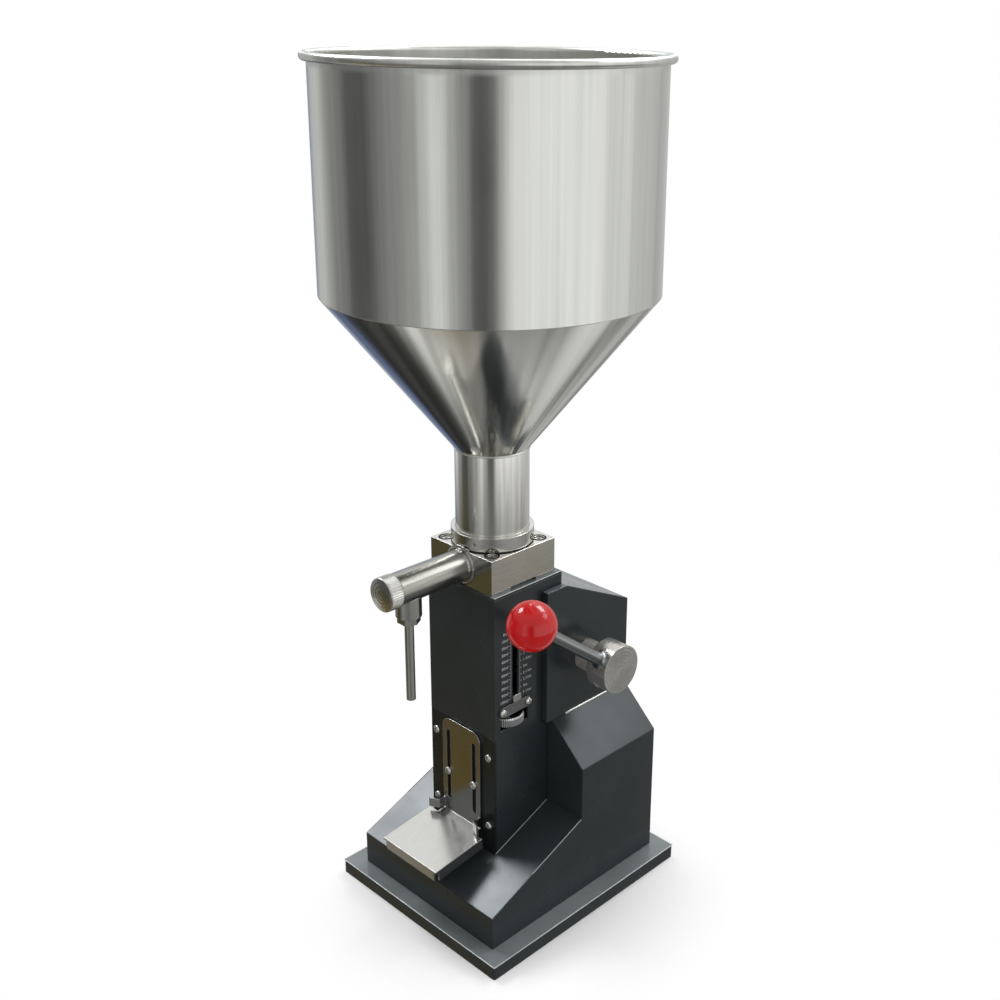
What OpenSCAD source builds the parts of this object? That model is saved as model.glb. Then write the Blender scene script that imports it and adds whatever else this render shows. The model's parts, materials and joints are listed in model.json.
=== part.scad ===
// Hand lever paste filling machine with a hopper, a metering piston, a nozzle and a cup tray
// Origin at the middle of the underside of the base plate, X to the lever side, -Y to the nozzle, Z up

/* [Base] */

// Width of the base plate, left to right
base_w = 194; // [170:1:260]
// Depth of the base plate, front to rear
base_d = 222; // [215:1:300]
// Thickness of the base plate
base_t = 12; // [6:0.5:16]
// Radius of the upright corners of the base plate
base_corner_r = 2.5; // [1:0.5:8]

/* [Lower housing] */

// Width of the lower housing
house_w = 161; // [140:1:168]
// Distance from the origin to the front wall of the lower housing
house_front = 97.5; // [85:0.5:105]
// Distance from the origin to the rear wall of both housings
house_rear = 98; // [85:0.5:105]
// Height above the base plate at which the front wall turns into the slope
house_front_h = 29.5; // [20:0.5:34]
// Distance behind the origin at which the slope ends
slope_end_y = 6; // [2:0.5:12]
// Height above the base plate at which the slope ends
slope_end_h = 71; // [60:0.5:76]
// Height above the base plate of the shoulder of the rear part
shoulder_h = 119; // [105:1:130]
// Height above the base plate of the joint between the housings
house_joint_h = 151.5; // [140:0.5:155]
// Thickness of the housing sheet
sheet_t = 1.5; // [1:0.1:2]

/* [Upper housing] */

// Width of the upper housing
upper_w = 90.5; // [88:0.5:96]
// Distance of the front lip of the upper housing ahead of the origin
upper_front = 1.2; // [0.5:0.1:3]
// Height of the flat top of the upper housing above the base plate
upper_top_h = 270.5; // [266:0.5:273]
// Height of the rear edge of the sloping roof above the base plate
upper_rear_h = 233.5; // [225:0.5:245]

/* [Rear cover] */

// Width of the rear cover
cover_w = 68; // [50:1:76]
// Height above the base plate of the lower edge of the rear cover
cover_bottom_h = 20; // [12:1:40]
// Height above the base plate of the upper edge of the rear cover
cover_top_h = 222; // [200:1:224]
// Thickness of the rear cover
cover_t = 1.5; // [1:0.1:2]
// Width of the rim of the rear cover that lies on the housings
cover_rim = 7; // [5:0.5:9]

/* [Column] */

// Width of the column
col_w = 78; // [78:0.5:84]
// Distance of the front face of the column ahead of the origin
col_front = 54.8; // [54:0.2:58]
// Distance of the open rear of the column behind the origin
col_rear = 21.2; // [20:0.2:24]
// Height of the top of the column above the base plate
col_top_h = 282; // [280:0.5:290]
// Thickness of the column sheet
col_t = 2; // [1.2:0.1:2]
// Thickness of the plate that closes the column
top_plate_t = 2; // [1.5:0.1:3]
// Height of the closed part of the column rear, below the top
col_rear_lip = 22; // [14:1:24]

/* [Front panel] */

// Height of the seam above the front panel, above the base plate
seam_h = 155; // [154.6:0.2:158]
// Thickness of the front panel
panel_t = 1.5; // [1:0.1:1.8]
// Width of the folds behind the front panel
panel_fold = 8; // [6:0.5:10]
// Inset of the panel screws from the sides of the column
panel_screw_inset = 7.2; // [6:0.2:9]
// Height of the upper panel screws above the base plate
panel_screw_top_h = 136.3; // [130:0.2:140]
// Height of the lower panel screws above the base plate
panel_screw_low_h = 71.5; // [68:0.2:80]

/* [Screws] */

// Diameter of the pan heads
pan_head_d = 6.8; // [5:0.2:7]
// Height of the pan heads
pan_head_h = 2.4; // [1.6:0.1:3]
// Diameter of the threads of the pan head screws
pan_screw_d = 4; // [3:0.1:4]
// Diameter of the socket heads in the valve block
socket_head_d = 7; // [6:0.1:7.4]
// Diameter of the counterbores in the valve block
counterbore_d = 8; // [7.6:0.1:8.6]
// Depth of the counterbores in the valve block
counterbore_depth = 5; // [4:0.1:6]
// Diameter of the threads of the valve block screws
socket_screw_d = 4; // [3:0.1:5]
// Width of the hexagon sockets
hex_socket_w = 3; // [2:0.1:4]

/* [Valve block] */

// Width of the valve block
block_w = 71.5; // [71:0.5:76]
// Distance of the front face of the valve block ahead of the origin
block_front = 54; // [53.6:0.1:54.6]
// Distance of the rear face of the valve block behind the origin
block_rear = 15.8; // [15:0.1:18]
// Height of the valve block
block_h = 30; // [29.6:0.2:33]
// Distance of the hopper and piston axis ahead of the origin
flow_y = 19.4; // [19.2:0.1:19.8]
// Sideways distance of the block screws from the axis
block_screw_x = 27; // [26.8:0.1:28]
// Forward distance of the front block screws from the axis
block_screw_y = 26; // [25.8:0.1:27]
// Diameter of the bore at the top of the valve block
block_bore_d = 44; // [40:0.5:46]
// Height of the metering chamber inside the valve block
chamber_h = 15; // [14:0.2:15.4]
// Thickness of the web that holds the inlet valve seat
web_t = 2; // [1.5:0.1:3]
// Diameter of the inlet valve seat
inlet_seat_d = 28; // [24:0.5:30]
// Length of the relief notch under the valve block
relief_l = 28; // [20:1:34]
// Height of the relief notch under the valve block
relief_h = 2.4; // [1.5:0.1:3]
// Depth of the relief notch from the side
relief_depth = 3; // [2:0.1:4]

/* [Hopper] */

// Outer diameter of the hopper cylinder
hopper_d = 259; // [220:1:300]
// Height of the hopper rim above the base plate
hopper_top_h = 688; // [640:1:740]
// Height of the lower edge of the hopper cylinder above the base plate
hopper_cyl_h = 515; // [490:1:540]
// Height of the lower edge of the cone above the base plate
hopper_cone_h = 390.6; // [370:0.2:400]
// Outer diameter of the hopper neck
neck_d = 59.6; // [56:0.2:60]
// Wall of the hopper and its neck
hopper_t = 1.5; // [1:0.1:2]
// Diameter of the rolled rim in cross section
rim_bead_d = 6.6; // [5:0.2:9]
// Outer diameter of the neck ring
ring_d = 67.2; // [66:0.2:67.6]
// Height of the neck ring
ring_h = 11; // [9:0.2:13]
// Diameter of the spanner hole in the neck ring
spanner_hole_d = 2.4; // [2:0.1:3]
// Thickness of the neck gasket
gasket_t = 1; // [0.6:0.1:1.5]
// Step of the gasket in from the neck ring
gasket_inset = 0.9; // [0.5:0.1:1.5]

/* [Inlet valve] */

// Diameter of the inlet valve disc
inlet_disc_d = 34; // [32:0.5:38]
// Thickness of the inlet valve disc
inlet_disc_t = 3; // [2:0.1:3]
// Diameter of the inlet valve stem
inlet_stem_d = 5; // [4:0.1:6]
// Opening travel of the inlet valve
inlet_travel = 4; // [3:0.1:4.4]
// Diameter of the stop on top of the stem
inlet_cap_d = 10; // [9:0.2:12]
// Thickness of the stop on top of the stem
inlet_cap_t = 2; // [1.5:0.1:2.4]
// Thickness of the valve guide
guide_t = 5; // [4:0.2:6]
// Width of the rim of the valve guide
guide_rim = 5; // [4:0.2:6]
// Width of the arms of the valve guide
guide_arm_w = 4; // [3:0.2:6]

/* [Outlet] */

// Height of the outlet axis above the top of the column
outlet_up = 16.7; // [16.4:0.1:17.2]
// Outer diameter of the outlet tube
outlet_d = 26; // [24:0.2:27]
// Wall of the outlet tube
outlet_t = 2; // [1.5:0.1:2.4]
// Distance of the closed end of the outlet cap ahead of the origin
outlet_end = 134.2; // [130:0.2:140]
// Length of the outlet cap
cap_l = 10; // [8:0.2:11]
// Diameter of the outlet cap
cap_d = 27.4; // [27.2:0.1:30]
// Thickness of the end wall of the outlet cap
cap_wall = 7.2; // [5:0.1:7.6]
// Thickness of the cap seal
cap_seal_t = 1; // [0.8:0.1:1.4]
// Diameter of the weld ring at the valve block
weld_ring_d = 28.8; // [28:0.2:31]
// Length of the weld ring
weld_ring_l = 2.2; // [1.5:0.1:3]
// Depth that the outlet tube goes into the valve block
outlet_socket = 4; // [3:0.1:4.4]
// Diameter of the port between the metering chamber and the outlet
port_d = 9; // [7:0.1:9.4]
// Height of the port axis above the top of the column
port_up = 10.4; // [10.2:0.1:10.6]
// Distance of the nozzle axis ahead of the origin
nozzle_y = 108.1; // [104:0.1:110]
// Diameter of the nozzle boss
boss_d = 20.6; // [19:0.2:22]
// Depth of the nozzle boss below the outlet axis
boss_drop = 25.2; // [24:0.2:27]
// Diameter of the bore in the nozzle boss
boss_bore_d = 10; // [9:0.2:12]

/* [Nozzle] */

// Outer diameter of the nozzle tube
nozzle_d = 7.4; // [6:0.1:8]
// Bore of the nozzle tube
nozzle_bore_d = 5.4; // [4:0.1:5.6]
// Height of the nozzle mouth above the base plate
nozzle_mouth_h = 200.4; // [180:0.2:220]
// Width across the flats of the nozzle nut
nut_w = 16; // [14:0.2:18]
// Height of the nozzle nut
nut_h = 5.5; // [4:0.1:7]
// Diameter of the collar on the nozzle tube
nozzle_collar_d = 9.6; // [8.4:0.1:9.8]
// Height of the collar on the nozzle tube
nozzle_collar_h = 2; // [1:0.1:3]

/* [Outlet valve] */

// Length of the outlet valve seat
outlet_seat_l = 4; // [3:0.1:5]
// Bore of the outlet valve seat
outlet_seat_bore_d = 12; // [10:0.2:13]
// Diameter of the outlet valve disc
poppet_d = 17; // [15:0.2:18]
// Thickness of the outlet valve disc
poppet_t = 3; // [2:0.1:4]
// Diameter of the outlet valve stem
poppet_stem_d = 5; // [4:0.2:6]
// Length of the outlet valve stem
poppet_stem_l = 26; // [18:0.5:30]
// Mean diameter of the outlet spring
spring_d = 11; // [10:0.2:12]
// Wire diameter of the outlet spring
spring_wire_d = 1.2; // [1:0.1:1.4]
// Number of turns of the outlet spring
spring_turns = 13; // [9:1:15]
// Diameter of the spring seat on the outlet cap
spring_seat_d = 8; // [7:0.1:8.4]
// Length of the spring seat on the outlet cap
spring_seat_l = 5; // [3:0.2:7]

/* [Metering cylinder] */

// Bore of the metering cylinder
bore_d = 46; // [44:0.1:46]
// Wall of the metering cylinder
cyl_t = 2; // [1.5:0.1:2]
// Length of the metering cylinder below the valve block
cyl_l = 82; // [80:0.5:83]
// Width of the cylinder flange
flange_w = 69; // [68:0.5:72]
// Thickness of the cylinder flange
flange_t = 4; // [3:0.1:6]
// Stroke of the piston, for a hundred millilitres
stroke = 60.2; // [54:0.1:60.6]

/* [Piston] */

// Running gap between the piston and the bore, on the radius
piston_gap = 0.08; // [0.04:0.01:0.1]
// Height of the piston
piston_h = 18; // [16:0.2:18.4]
// Space left above the piston at the top of its stroke, below the inlet web
piston_top_space = 9.5; // [9:0.1:10]
// Width of the seal grooves
groove_w = 2.4; // [2:0.1:3]
// Depth of the seal grooves
groove_depth = 2.4; // [2:0.1:3]
// Distance of the seal grooves from the ends of the piston
groove_inset = 3; // [2.4:0.1:4]
// Diameter of the piston rod
piston_rod_d = 14; // [12:0.2:16]
// Diameter of the thread at the foot of the piston rod
rod_thread_d = 10; // [8:0.2:11]
// Height of the piston rod nut
rod_nut_h = 5; // [4:0.2:6]
// Width across the flats of the piston rod nut
rod_nut_w = 16; // [15:0.2:18]

/* [Crosshead] */

// Height of the crosshead bar
bar_h = 11; // [9:0.2:12]
// Gap between the crosshead bar and the cylinder above it
bar_gap = 4; // [2:0.2:5]
// Half width of the crosshead bar ahead of the piston axis
bar_front = 7.6; // [7.2:0.1:8]
// Reach of the crosshead bar behind the piston axis
bar_rear = 14.9; // [14:0.1:16]
// Reach of the crosshead bar to the right of the piston axis
bar_right = 11; // [9.4:0.1:12]
// Thickness of the side plate of the crosshead
side_t = 3.5; // [3:0.1:3.8]
// Gap between the cylinder and the side plate
side_gap = 1; // [0.6:0.1:1.2]
// Width of metal round the slot of the side plate
side_margin = 3.8; // [3:0.1:5]

/* [Crank] */

// Distance of the lever shaft behind the origin
shaft_y = 45.8; // [45.4:0.1:46.4]
// Height of the lever shaft above the base plate
shaft_h = 199.1; // [198:0.1:200]
// Diameter of the lever shaft
shaft_d = 16; // [14:0.2:18]
// Angle that the lever turns through its stroke
lever_swing = 52.5; // [48:0.5:53]
// Thickness of the crank arm
crank_t = 5; // [4:0.1:5]
// Gap between the crank arm and the crosshead side plate
crank_gap = 1; // [0.6:0.1:1.2]
// Diameter of the crank arm round the shaft
crank_hub_d = 28; // [24:0.5:32]
// Diameter of the crank arm round its pin
crank_eye_d = 16; // [14:0.5:18]
// Width of the crank arm between its ends
crank_w = 13; // [10:0.5:13.5]
// Diameter of the crank pin
crank_pin_d = 7; // [6:0.1:8]
// Diameter of the crank roller
roller_d = 11; // [10:0.1:12]
// Gap over and under the roller, for the arc that the straight drive leaves out
roller_gap = 0.75; // [0.7:0.05:0.9]

/* [Lever] */

// Distance of the outer face of the lever hub from the middle plane
hub_end_x = 85; // [82:0.5:92]
// Length of the lever hub
hub_l = 20; // [16:0.5:24]
// Diameter of the lever hub
hub_d = 41.6; // [38:0.2:44]
// Thickness of the closed end of the lever hub
hub_wall = 4; // [3:0.2:6]
// Angle of the lever above the level line at rest
lever_up = 36.7; // [30:0.1:40]
// Distance from the shaft axis to the middle of the ball
lever_l = 118.2; // [105:0.2:130]
// Diameter of the lever rod
lever_rod_d = 10.6; // [9:0.1:12]
// Diameter of the ball
ball_d = 40; // [34:0.5:45]
// Depth that the lever rod goes into the ball
ball_socket = 14; // [10:0.5:18]
// Distance from the shaft axis at which the lever rod starts inside the hub
rod_root = 11; // [10:0.2:14]
// Diameter of the right shaft bush
bush_right_d = 26.8; // [24:0.2:30]
// Diameter of the left shaft bush
bush_left_d = 22; // [20:0.2:24]
// Extra radius of the bush flanges
bush_flange = 3; // [2:0.1:4]
// Thickness of the bush flanges
bush_flange_t = 2.5; // [2:0.1:3]
// Running gap between the shaft and its bushes, on the radius
bush_gap = 0.05; // [0.02:0.01:0.1]

/* [Volume adjuster] */

// Distance of the lead screw from the middle plane
screw_x = 29; // [28.8:0.1:29.4]
// Distance of the lead screw ahead of the origin
screw_y = 32.6; // [32.2:0.1:33]
// Diameter of the lead screw
screw_d = 8; // [6:0.1:8]
// Diameter of the thumb wheel
wheel_d = 30; // [28:0.2:30.6]
// Thickness of the thumb wheel
wheel_t = 8; // [6:0.2:9]
// Height of the top of the thumb wheel above the base plate
wheel_top_h = 170; // [168:0.2:171]
// Width of the stop nut
stop_nut_d = 12.6; // [12:0.1:13]
// Height of the stop nut
stop_nut_h = 8; // [6:0.2:8]
// Height of the pointer at the hundred millilitre mark, above the base plate
pointer_h = 186.6; // [186:0.1:188]
// Range of the stop nut, from a hundred down to five millilitres
stop_travel = 57; // [48:0.1:57.2]
// Width of the stop wing
wing_w = 8; // [6:0.2:9]
// Gap between the stop wing and the stop collar
stop_gap = 0.3; // [0.2:0.05:0.4]
// Distance of the slot in front of the origin, at its middle
slot_y = 31.4; // [31:0.1:32]
// Width of the slot in the column
slot_w = 6.7; // [6:0.1:7]
// Room left at each end of the slot
slot_room = 3.5; // [3:0.1:4]
// Width of the pointer head
pointer_w = 8.8; // [8:0.1:10]
// Height of the pointer head
pointer_head_h = 6.4; // [5:0.1:6.8]
// Thickness of the pointer head
pointer_t = 2; // [1.5:0.1:2.5]
// Gap between the column and the pieces that slide along it
slide_gap = 0.3; // [0.2:0.05:0.4]
// Distance between the adjuster plate screws
plate_pitch = 28.4; // [28:0.2:29]
// Height of the adjuster plate screws above the base plate
plate_h = 178.2; // [178:0.1:179]
// Width of the adjuster plate
plate_w = 9.6; // [8:0.1:9.8]
// Thickness of the adjuster plate
plate_t = 1.5; // [1:0.1:2]
// Width of the wheel window
window_w = 31; // [31:0.2:33]
// Height of the wheel window below the plate screws
window_drop = 17.6; // [17.2:0.1:19]
// Height of the inner bearing blocks of the lead screw
bearing_h = 8; // [6:0.2:8]
// Reach of the inner bearing blocks from the column wall
bearing_reach = 14.6; // [13:0.1:15]
// Width of the upper bearing block
bearing_w = 12; // [11:0.2:12.6]

/* [Stop rod] */

// Distance of the stop rod from the middle plane
stop_rod_x = 31.4; // [31:0.1:31.6]
// Distance of the stop rod ahead of the origin
stop_rod_y = 9; // [8.6:0.1:9.2]
// Diameter of the stop rod
stop_rod_d = 8; // [6:0.1:8]
// Diameter of the stop collar
stop_collar_d = 10; // [9:0.1:10.4]
// Height of the stop collar
stop_collar_h = 6; // [5:0.1:7]

/* [Tray] */

// Width of the tray
tray_w = 66.4; // [56:0.2:72]
// Depth of the wide part of the tray
tray_d = 51.5; // [40:0.5:60]
// Length of the narrow tongue between the tray and its back plate
tongue_l = 7.5; // [7.2:0.1:9]
// Thickness of the tray sheet
tray_t = 1.8; // [1.2:0.1:2]
// Fall of the tray towards its front edge, in degrees
tray_fall = 7; // [4:0.5:7.5]
// Height of the folded edges of the tray
tray_edge_h = 10; // [6:0.2:10.4]
// Length of the open notch at the tray corners
tray_notch = 1.2; // [1:0.1:2]
// Height of the bend at the foot of the back plate, above the base plate
tray_bend_h = 65; // [64.6:0.2:68]
// Width of the back plate
back_w = 45.8; // [42:0.2:47]
// Height of the top of the back plate above the base plate
back_top_h = 154.2; // [148:0.2:154.4]
// Radius of the top corners of the back plate
back_r = 9; // [5:0.5:12]
// Distance of the tray slots from the middle plane
tray_slot_x = 15.6; // [14.4:0.1:16.4]
// Width of the tray slots
tray_slot_w = 4.6; // [4.4:0.1:5]
// Height of the lower end of the tray slots above the base plate
tray_slot_low_h = 76.6; // [76:0.2:80]
// Height of the upper end of the tray slots above the base plate
tray_slot_top_h = 143.4; // [138:0.2:144]
// Height of the tray screws above the base plate
tray_screw_h = 104.2; // [98:0.2:110]
// Height of the tray ears
ear_h = 8; // [7:0.2:10]
// Depth of the tray ears ahead of the back plate
ear_d = 6.8; // [6.6:0.1:8]
// Length of the flared part of the tray ears
ear_flare_l = 9.5; // [6:0.2:11]
// Angle of the flared part of the tray ears
ear_flare_a = 25; // [15:1:30]
// Height of the foot of the tray ears above the bend
ear_up = 2.2; // [1.5:0.1:3]

/* [Fits] */

// Length that a cut runs past the face it opens
overrun = 1; // [0.5:0.1:2]
// Gap between fixed pieces that slip together
slip = 0.1; // [0.05:0.01:0.2]
// Gap round the column where it passes through the housings
pass_gap = 0.3; // [0.2:0.05:0.5]

/* [Hidden] */

$fn = 96;

house_x = house_w / 2;
upper_x = upper_w / 2;
col_x = col_w / 2;
front_z = base_t + house_front_h;
slope_z = base_t + slope_end_h;
shoulder_z = base_t + shoulder_h;
joint_z = base_t + house_joint_h;
upper_top_z = base_t + upper_top_h;
upper_rear_z = base_t + upper_rear_h;
col_top_z = base_t + col_top_h;
seam_z = base_t + seam_h;
block_top_z = col_top_z + block_h;
chamber_z = col_top_z + chamber_h;
web_top_z = chamber_z + web_t;
outlet_z = col_top_z + outlet_up;
port_z = col_top_z + port_up;
ring_z = block_top_z + gasket_t;
ring_top_z = ring_z + ring_h;
hopper_top_z = base_t + hopper_top_h;
hopper_cyl_z = base_t + hopper_cyl_h;
hopper_cone_z = base_t + hopper_cone_h;
hopper_r = hopper_d / 2;
neck_r = neck_d / 2;
bead_r = rim_bead_d / 2;
shaft_z = base_t + shaft_h;
seam_gap = 0.4;
cover_bottom_z = base_t + cover_bottom_h;
cover_top_z = base_t + cover_top_h;

slope_a = atan((slope_z - front_z) / (slope_end_y + house_front));
hip_a = atan((joint_z - shoulder_z) / (house_x - upper_x));
roof_a = atan((upper_top_z - upper_rear_z) / (house_rear - col_rear));
slope_drop = sheet_t / cos(slope_a);
hip_drop = sheet_t / cos(hip_a);
roof_drop = sheet_t / cos(roof_a);
panel_foot_z = front_z + (house_front - col_front) * tan(slope_a) + seam_gap;

bore_r = bore_d / 2;
cyl_r = bore_r + cyl_t;
cyl_foot_z = col_top_z - cyl_l;
piston_top_z = chamber_z - piston_top_space;
piston_foot_z = piston_top_z - piston_h;
piston_r = bore_r - piston_gap;
bar_top_z = cyl_foot_z - bar_gap;
bar_foot_z = bar_top_z - bar_h;

crank_r = stroke / 2 / sin(lever_swing / 2);
pin_z = shaft_z + stroke / 2;
pin_y = shaft_y - crank_r * cos(lever_swing / 2);
pin_y_far = shaft_y - crank_r;
roller_r = roller_d / 2;
side_slot_half = roller_r + roller_gap;
side_x = cyl_r + side_gap;
crank_x = side_x + side_t + crank_gap;

hub_x = hub_end_x - hub_l;
hub_mid_x = hub_end_x - hub_l / 2;
bush_end_x = hub_x - side_gap / 2;
wall_x = upper_x - sheet_t;

inner_x = col_x - col_t;
wheel_top_z = base_t + wheel_top_h;
plate_z = base_t + plate_h;
pointer_z = base_t + pointer_h;
slot_foot_z = pointer_z - slot_room;
slot_top_z = pointer_z + stop_travel + slot_room;
tongue_w = slot_w - 2 * slide_gap;
tongue_h = stop_nut_h / 2;
upper_bearing_z = slot_top_z + slot_room;
collar_z = pointer_z + stop_nut_h / 2 + stroke;
bearing_z = plate_z - bearing_h / 2;
bearing_l = plate_pitch + pan_head_d;

bend_z = base_t + tray_bend_h;
back_top_z = base_t + back_top_h;
back_face_y = -col_front - 2 * slide_gap / 3;
tray_screw_z = base_t + tray_screw_h;
slot_low_z = base_t + tray_slot_low_h;
slot_high_z = base_t + tray_slot_top_h;

spring_start = block_front + outlet_seat_l + weld_ring_l + poppet_t + slip;
spring_end = outlet_end - cap_wall;
spring_steps = 12;
spring_sides = 6;
seal_z = [piston_foot_z + groove_inset, piston_top_z - groove_inset - groove_w];
seat_y = block_front + weld_ring_l;

// Box between two corners
module box(x0, x1, y0, y1, z0, z1) {
  translate([x0, y0, z0])
    cube([x1 - x0, y1 - y0, z1 - z0]);
}

// Round bar along X, Y or Z between two ends
module bar_x(x0, x1, y, z, r) {
  translate([x0, y, z])
    rotate([0, 90, 0])
      cylinder(h = x1 - x0, r = r);
}

module bar_y(x, y0, y1, z, r) {
  translate([x, y1, z])
    rotate([90, 0, 0])
      cylinder(h = y1 - y0, r = r);
}

module bar_z(x, y, z0, z1, r) {
  translate([x, y, z0])
    cylinder(h = z1 - z0, r = r);
}

// Flat outline in the Y and Z plane, drawn out along X
module along_x(x0, x1) {
  translate([x0, 0, 0])
    rotate([90, 0, 90])
      linear_extrude(height = x1 - x0)
        children();
}

// Flat outline in the X and Z plane, drawn out along Y
module along_y(y0, y1) {
  translate([0, y1, 0])
    rotate([90, 0, 0])
      linear_extrude(height = y1 - y0)
        children();
}

// Rectangle with round corners between two corner points
module round_rect(x0, x1, y0, y1, r) {
  translate([x0 + r, y0])
    square([x1 - x0 - 2 * r, y1 - y0]);
  translate([x0, y0 + r])
    square([x1 - x0, y1 - y0 - 2 * r]);
  for (x = [x0 + r, x1 - r])
    for (y = [y0 + r, y1 - r])
      translate([x, y])
        circle(r = r);
}

// Pan head screw that points along +Y, head outside the face
module pan_screw_y(x, z, face_y, l) {
  bar_y(x, face_y - pan_head_h, face_y, z, pan_head_d / 2);
  bar_y(x, face_y - slip, face_y + l, z, pan_screw_d / 2);
}

// Base plate, a solid plate that carries the housing and the column
module base_plate() {
  color("#3a3f44")
    linear_extrude(height = base_t)
      round_rect(-base_w / 2, base_w / 2, -base_d / 2, base_d / 2, base_corner_r);
}

// Lower housing, a folded shell with a sloping front and a hipped rear part
module base_housing() {
  color("#4a5057")
    difference() {
      union() {
        along_x(-house_x, house_x)
          polygon([[-house_front, base_t], [-house_front, front_z], [slope_end_y, slope_z], [slope_end_y, base_t]]);
        along_y(slope_end_y, house_rear)
          polygon([[-house_x, base_t], [-house_x, shoulder_z], [-upper_x, joint_z], [upper_x, joint_z],
            [house_x, shoulder_z], [house_x, base_t]]);
      }
      along_x(-house_x + sheet_t, house_x - sheet_t)
        polygon([[-house_front + sheet_t, base_t - overrun],
          [-house_front + sheet_t, front_z - slope_drop + sheet_t * tan(slope_a)],
          [slope_end_y + sheet_t, slope_z - slope_drop + sheet_t * tan(slope_a)],
          [slope_end_y + sheet_t, base_t - overrun]]);
      along_y(slope_end_y + sheet_t, house_rear - sheet_t)
        polygon([[-house_x + sheet_t, base_t - overrun],
          [-house_x + sheet_t, shoulder_z - hip_drop + sheet_t * tan(hip_a)],
          [-wall_x, joint_z - hip_drop + sheet_t * tan(hip_a)],
          [-wall_x, joint_z + overrun],
          [wall_x, joint_z + overrun],
          [wall_x, joint_z - hip_drop + sheet_t * tan(hip_a)],
          [house_x - sheet_t, shoulder_z - hip_drop + sheet_t * tan(hip_a)],
          [house_x - sheet_t, base_t - overrun]]);
      box(-col_x - pass_gap, col_x + pass_gap, -col_front - pass_gap, col_rear + pass_gap,
        base_t - overrun, joint_z + overrun);
      box(cover_rim - cover_w / 2, cover_w / 2 - cover_rim, house_rear - sheet_t - overrun, house_rear + overrun,
        cover_bottom_z + cover_rim, joint_z + overrun);
      rear_screw_spots()
        bar_y(0, house_rear - sheet_t - overrun, house_rear + overrun, 0, pan_screw_d / 2 + slip);
    }
}

// Upper housing, wraps the rear of the column and carries the lever shaft
module upper_housing() {
  color("#454b52")
    difference() {
      along_x(-upper_x, upper_x)
        polygon([[-upper_front, joint_z], [-upper_front, upper_top_z], [col_rear, upper_top_z],
          [house_rear, upper_rear_z], [house_rear, joint_z]]);
      along_x(-wall_x, wall_x)
        polygon([[sheet_t - upper_front, joint_z + sheet_t], [sheet_t - upper_front, upper_top_z - roof_drop],
          [col_rear, upper_top_z - roof_drop],
          [house_rear - sheet_t, upper_rear_z - roof_drop + sheet_t * tan(roof_a)],
          [house_rear - sheet_t, joint_z - overrun], [slope_end_y + sheet_t, joint_z - overrun],
          [slope_end_y + sheet_t, joint_z + sheet_t]]);
      box(-col_x - pass_gap, col_x + pass_gap, -upper_front - overrun, col_rear + pass_gap,
        joint_z - overrun, upper_top_z + overrun);
      bar_x(wall_x - overrun, upper_x + overrun, shaft_y, shaft_z, bush_right_d / 2 + slip);
      bar_x(-upper_x - overrun, overrun - wall_x, shaft_y, shaft_z, bush_left_d / 2 + slip);
      box(cover_rim - cover_w / 2, cover_w / 2 - cover_rim, house_rear - sheet_t - overrun, house_rear + overrun,
        joint_z - overrun, cover_top_z - cover_rim);
      rear_screw_spots()
        bar_y(0, house_rear - sheet_t - overrun, house_rear + overrun, 0, pan_screw_d / 2 + slip);
    }
}

// Rear cover, a flat plate over the opening in both housings
module rear_cover() {
  color("#3f454b")
    difference() {
      along_y(house_rear, house_rear + cover_t)
        round_rect(-cover_w / 2, cover_w / 2, cover_bottom_z, cover_top_z, cover_rim / 2);
      rear_screw_spots()
        bar_y(0, house_rear - overrun, house_rear + cover_t + overrun, 0, pan_screw_d / 2 + slip);
    }
}

// Spots of the rear cover screws
module rear_screw_spots() {
  for (x = [-1, 1])
    for (z = [cover_bottom_z + cover_rim / 2, (cover_bottom_z + cover_top_z) / 2, cover_top_z - cover_rim / 2])
      translate([x * (cover_w - cover_rim) / 2, 0, z])
        children();
}

// Screws of the rear cover
module rear_cover_screws() {
  color("#c8c8c4")
    rear_screw_spots() {
      bar_y(0, house_rear + cover_t, house_rear + cover_t + pan_head_h, 0, pan_head_d / 2);
      bar_y(0, house_rear - 2 * sheet_t, house_rear + cover_t + slip, 0, pan_screw_d / 2);
    }
}

// Column, a folded box with an open rear, a scale slot and a window for the thumb wheel
module column() {
  color("#33383d")
    difference() {
      union() {
        difference() {
          box(-col_x, col_x, -col_front, col_rear, base_t, col_top_z - top_plate_t);
          box(-inner_x, inner_x, col_t - col_front, col_rear + overrun, base_t - overrun, col_top_z);
        }
        box(-inner_x, inner_x, col_rear - col_t, col_rear, col_top_z - col_rear_lip, col_top_z - top_plate_t);
        box(-col_x, col_x, panel_t - col_front, panel_t + col_t - col_front, seam_z - panel_fold,
          seam_z + panel_fold);
        box(-col_x, panel_fold - col_x, panel_t - col_front, panel_t + col_t - col_front, base_t, seam_z);
        box(col_x - panel_fold, col_x, panel_t - col_front, panel_t + col_t - col_front, base_t, seam_z);
      }
      box(-col_x - overrun, col_x + overrun, -col_front - overrun, panel_t - col_front, base_t - overrun, seam_z);
      box(panel_fold - col_x, col_x - panel_fold, -col_front - overrun, panel_t + col_t - col_front + overrun,
        base_t - overrun, seam_z - panel_fold);
      panel_screw_spots()
        bar_y(0, -col_front - overrun, panel_t + col_t - col_front + overrun, 0, pan_screw_d / 2 + slip);
      along_x(inner_x - overrun, col_x + overrun)
        round_rect(-slot_y - slot_w / 2, slot_w / 2 - slot_y, slot_foot_z, slot_top_z, slot_w / 4);
      box(inner_x - overrun, col_x + overrun, -screw_y - window_w / 2, window_w / 2 - screw_y,
        plate_z - window_drop, plate_z - plate_w / 4);
      plate_screw_spots()
        bar_x(inner_x - overrun, col_x + overrun, 0, 0, pan_screw_d / 2 + slip);
    }
}

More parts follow.
